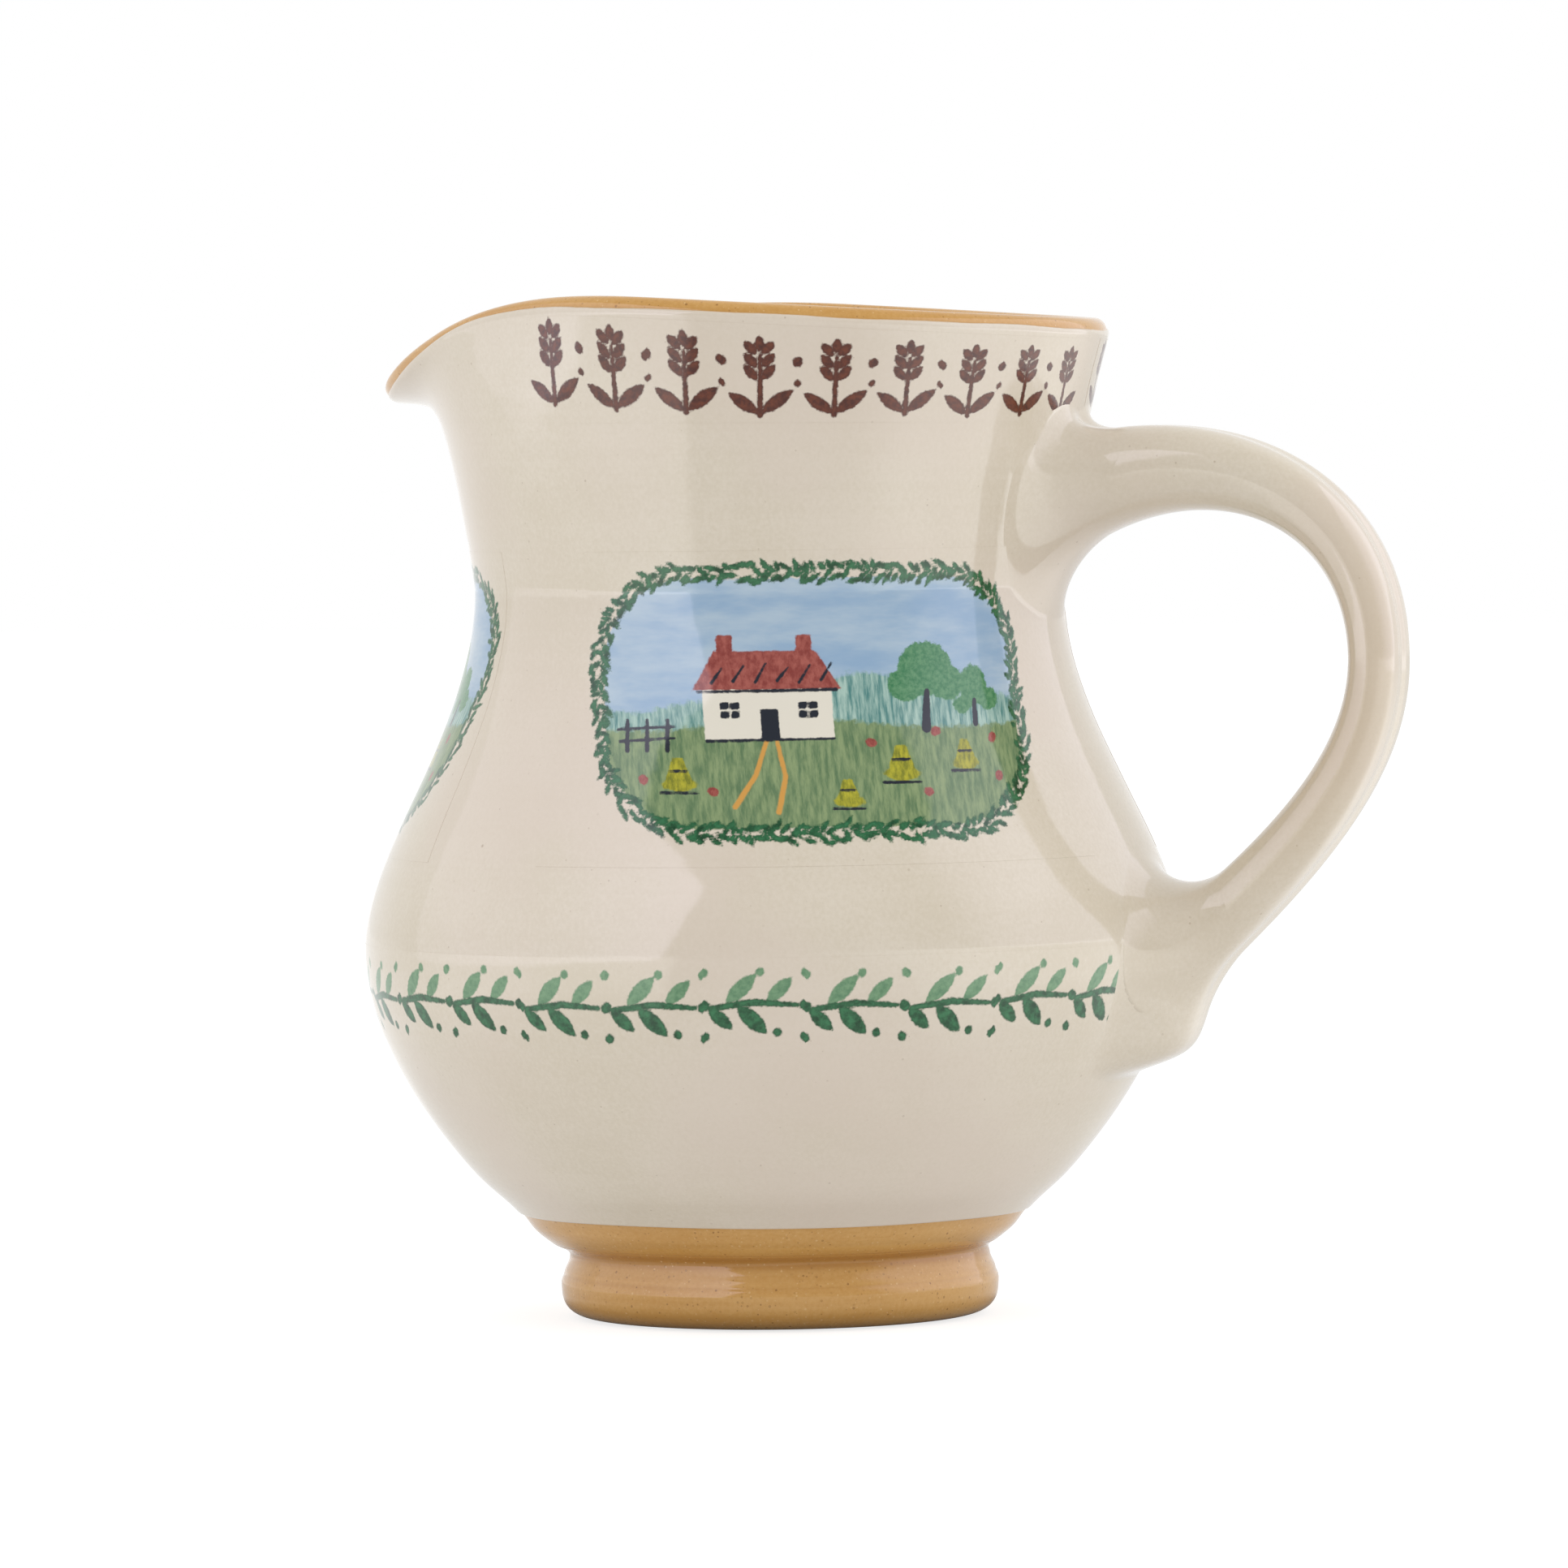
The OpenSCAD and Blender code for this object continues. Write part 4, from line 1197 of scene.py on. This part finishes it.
panelGlaze = glazed("paintedPanelGlaze", painted(panelLayers, skyLayers), creamLook["roughness"])
earsGlaze = glazed("brownBorderGlaze", painted(earsLayers), creamLook["roughness"])
laurelGlaze = glazed("greenBorderGlaze", painted(laurelLayers), creamLook["roughness"])

for label, (middle, seed) in panel["places"].items():
    sheet = makeSkin(middle - panel["span"] / 2, middle + panel["span"] / 2, panel["low"], panel["high"],
                     decoration["panelStep"], drawPanel(seed))
    buildPiece("paintedPanel" + label, [sheet], panelGlaze)
for label, mirror in (("Front", 0.0), ("Back", 360.0)):
    first, last = sorted(abs(mirror - neckRow[end]) for end in ("first", "last"))
    shift = 0.0 if mirror == 0 else first - neckRow["first"]
    sheet = makeSkin(first, last, neckRow["low"], neckRow["high"], decoration["neckStep"],
                     lambda u, v, angle, shift=shift: drawEars(u, v, angle - shift))
    buildPiece("brownBorder" + label, [sheet], earsGlaze)
for k, label in enumerate(("BackRight", "BackLeft", "FrontLeft", "FrontRight")):
    first = bellyRow["first"] + bellyRow["span"] * k
    sheet = makeSkin(first, first + bellyRow["span"], bellyRow["low"], bellyRow["high"],
                     decoration["bellyStep"], drawLaurel)
    buildPiece("greenBorder" + label, [sheet], laurelGlaze)
print("Decoration painted")

# Stage, lights and camera, in metres

view = {
    "azimuth": 17.465, "distance": 1.65, "height": 0.1452, "aim": 0.088, "lens": 226.36, "roll": 0.722,
    "shiftX": 0.00637, "shiftY": 0.00304, "sensor": 36.0, "near": 0.05, "far": 60.0,
}
# Area lamps: degrees to the right of the camera and up, distance, width and height, radiance, whether the
# glaze mirrors them, then the shares over which their near edge fades in and to which their far end falls
lamps = {
    "windowLeft": (-72, 19, 0.75, 1.5, 0.8, 2.2, True, 0.02, 0.2),
    "windowRight": (92, 22, 0.85, 1.6, 0.8, 1.75, True, 0.4, 0.4),
    "fillLeft": (-71, 19, 0.9, 1.2, 0.9, 0.35, False),
    "fillRight": (88, 19, 0.9, 1.2, 0.9, 0.7, False),
    "fillTop": (0, 80, 1.1, 1.1, 0.8, 0.3, False),
}
windowColour = (1.0, 0.95, 1.14)
lampAim = Vector((0, 0, 0.09))
table = {
    "half": 6.0, "under": 0.0002, "tones": ((0.37, 0.37, 0.37, 1.0), (0.39, 0.39, 0.39, 1.0)),
    "level": 0.5, "seen": 0.27, "windows": 1.25, "shadow": 0.1, "shadowFrom": 0.036, "shadowTo": 0.05,
}
room = {"level": (0.91, 0.91, 0.91, 1.0), "bright": 1.0, "dim": 0.42}


def toCamera(side, up, far):
    # a place as seen from the pot: turned by side degrees from the camera's direction to the picture's
    # right, and up degrees high
    a, e = math.radians(view["azimuth"] + side), math.radians(up)
    return Vector((math.sin(a) * math.cos(e), -math.cos(a) * math.cos(e), math.sin(e))) * far + lampAim


def makeSoftbox(name, side, up, far, wide, high, radiance, mirrored, inner=0.0, outer=1.0):
    # mirrored: seen only in the glaze, its edge towards the camera fading in over the inner share and its
    # strength going to the outer share at its far end; else it only lights
    lamp = bpy.data.lights.new(name, "AREA")
    lamp.shape = "RECTANGLE"
    lamp.size, lamp.size_y = wide, high
    lamp.energy = radiance * math.pi * wide * high
    if mirrored:
        lamp.color = windowColour
        lamp.use_nodes = True
        tree = lamp.node_tree
        tree.nodes.clear()
        across = place(tree, "SeparateXYZ", {0: place(tree, "NewGeometry")["Parametric"]})
        start, end = (1.0, 0.0) if side < 0 else (0.0, 1.0)
        rise = ramp(across, start, start + inner * (end - start))
        strength = rise * ramp(across, start, end, 1.0, outer)
        place(tree, "OutputLight", {0: place(tree, "Emission", {"Color": white, "Strength": strength})})
    holder = addThing(name, lamp)
    holder.location = toCamera(side, up, far)
    holder.rotation_mode = "QUATERNION"
    holder.rotation_quaternion = (lampAim - holder.location).to_track_quat("-Z", "Y")
    holder.visible_glossy = mirrored
    holder.visible_diffuse = not mirrored


def makeFloor():
    # a white table, a little self-lit: its shadow stays pale, and in the glaze it mirrors the windows to the
    # left and the right, as sectors of the angle round the pot counted from the camera's direction
    mesh = bpy.data.meshes.new("floor")
    corners = [(x * table["half"], y * table["half"], -table["under"])
               for x, y in ((-1, -1), (1, -1), (1, 1), (-1, 1))]
    mesh.from_pydata(corners, [], [(0, 1, 2, 3)])
    material, tree = newMaterial("paleTable")
    path, where = place(tree, "LightPath"), objectPlace(tree)
    turn = (0.0, 0.0, -math.radians(view["azimuth"]))
    facing = place(tree, "SeparateXYZ", {0: place(tree, "Mapping", {0: where, 2: turn})})
    bearing = reckon(tree, "ARCTAN2", facing[0], facing[1] * -1.0)
    left = ramp(bearing, -0.42, -0.5) * ramp(bearing, -2.3, -0.5, 0.2, 1.0)
    right = ramp(bearing, 0.4, 1.0) * ramp(bearing, 2.6, 1.8)
    far = place(tree, "VectorMath", {0: where}, operation="LENGTH")["Value"]
    windows = (left + right) * ramp(far, 0.08, 0.3) * path["Is Glossy Ray"]
    soft = place(tree, "BsdfDiffuse", {"Color": blendColour(grainOf(where, 3.0), *table["tones"])})
    level = reckon(tree, "ADD", table["level"], path["Is Camera Ray"] * table["seen"])
    level = level + windows * table["windows"]
    # close to the foot the table is in shadow, though not where the camera sees it
    dim = ramp(far, table["shadowFrom"], table["shadowTo"], table["shadow"], 1.0)
    level = level * reckon(tree, "MAXIMUM", path["Is Camera Ray"], dim)
    glow = place(tree, "Emission", {"Color": white, "Strength": level})
    place(tree, "OutputMaterial", {0: place(tree, "AddShader", {0: soft, 1: glow})})
    mesh.materials.append(material)
    floor = addThing("floor", mesh)


def makeRoom():
    # the room lights evenly; mirrored in the glaze it is dim behind the camera and bright behind the pot
    world = bpy.data.worlds.new("paleRoom")
    scene.world = world
    world.use_nodes = True
    tree = world.node_tree
    tree.nodes.clear()
    rays = place(tree, "LightPath")
    wires = {0: place(tree, "TexCoord")["Generated"], 1: toCamera(0, 0, 1.0) - lampAim}
    facing = place(tree, "VectorMath", wires, operation="DOT_PRODUCT")["Value"]
    mirrored = ramp(facing, -0.85, 0.3, room["bright"], room["dim"])
    straight = reckon(tree, "MAXIMUM", rays["Is Camera Ray"], rays["Is Transmission Ray"])
    level = blendColour(straight, blendColour(rays["Is Glossy Ray"], room["level"], mirrored), white)
    place(tree, "OutputWorld", {0: place(tree, "Background", {"Color": level, "Strength": 1.0})})


def makeCamera():
    # stands at its distance and azimuth, looks at the aim on the pot's middle line, and is turned by the roll
    camera = addThing("camera", bpy.data.cameras.new("camera"))
    scene.camera = camera
    camera.data.lens = view["lens"]
    camera.data.sensor_width = view["sensor"]
    camera.data.shift_x, camera.data.shift_y = view["shiftX"], view["shiftY"]
    camera.data.clip_start, camera.data.clip_end = view["near"], view["far"]
    a, roll = math.radians(view["azimuth"]), math.radians(view["roll"])
    eye = Vector((math.sin(a) * view["distance"], -math.cos(a) * view["distance"], view["height"]))
    forward = (Vector((0, 0, view["aim"])) - eye).normalized()
    right = Vector((math.cos(a), math.sin(a), 0))
    up = right.cross(forward)
    upTilted = up * math.cos(roll) + right * math.sin(roll)
    rightTilted = right * math.cos(roll) - up * math.sin(roll)
    facing = Matrix((rightTilted, upTilted, -forward)).transposed().to_4x4()
    camera.matrix_world = Matrix.Translation(eye) @ facing


for name, values in lamps.items():
    makeSoftbox(name, *values)
makeFloor()
makeRoom()
makeCamera()
scene.view_settings.view_transform = "Standard"
print("Stage, lights and camera set")
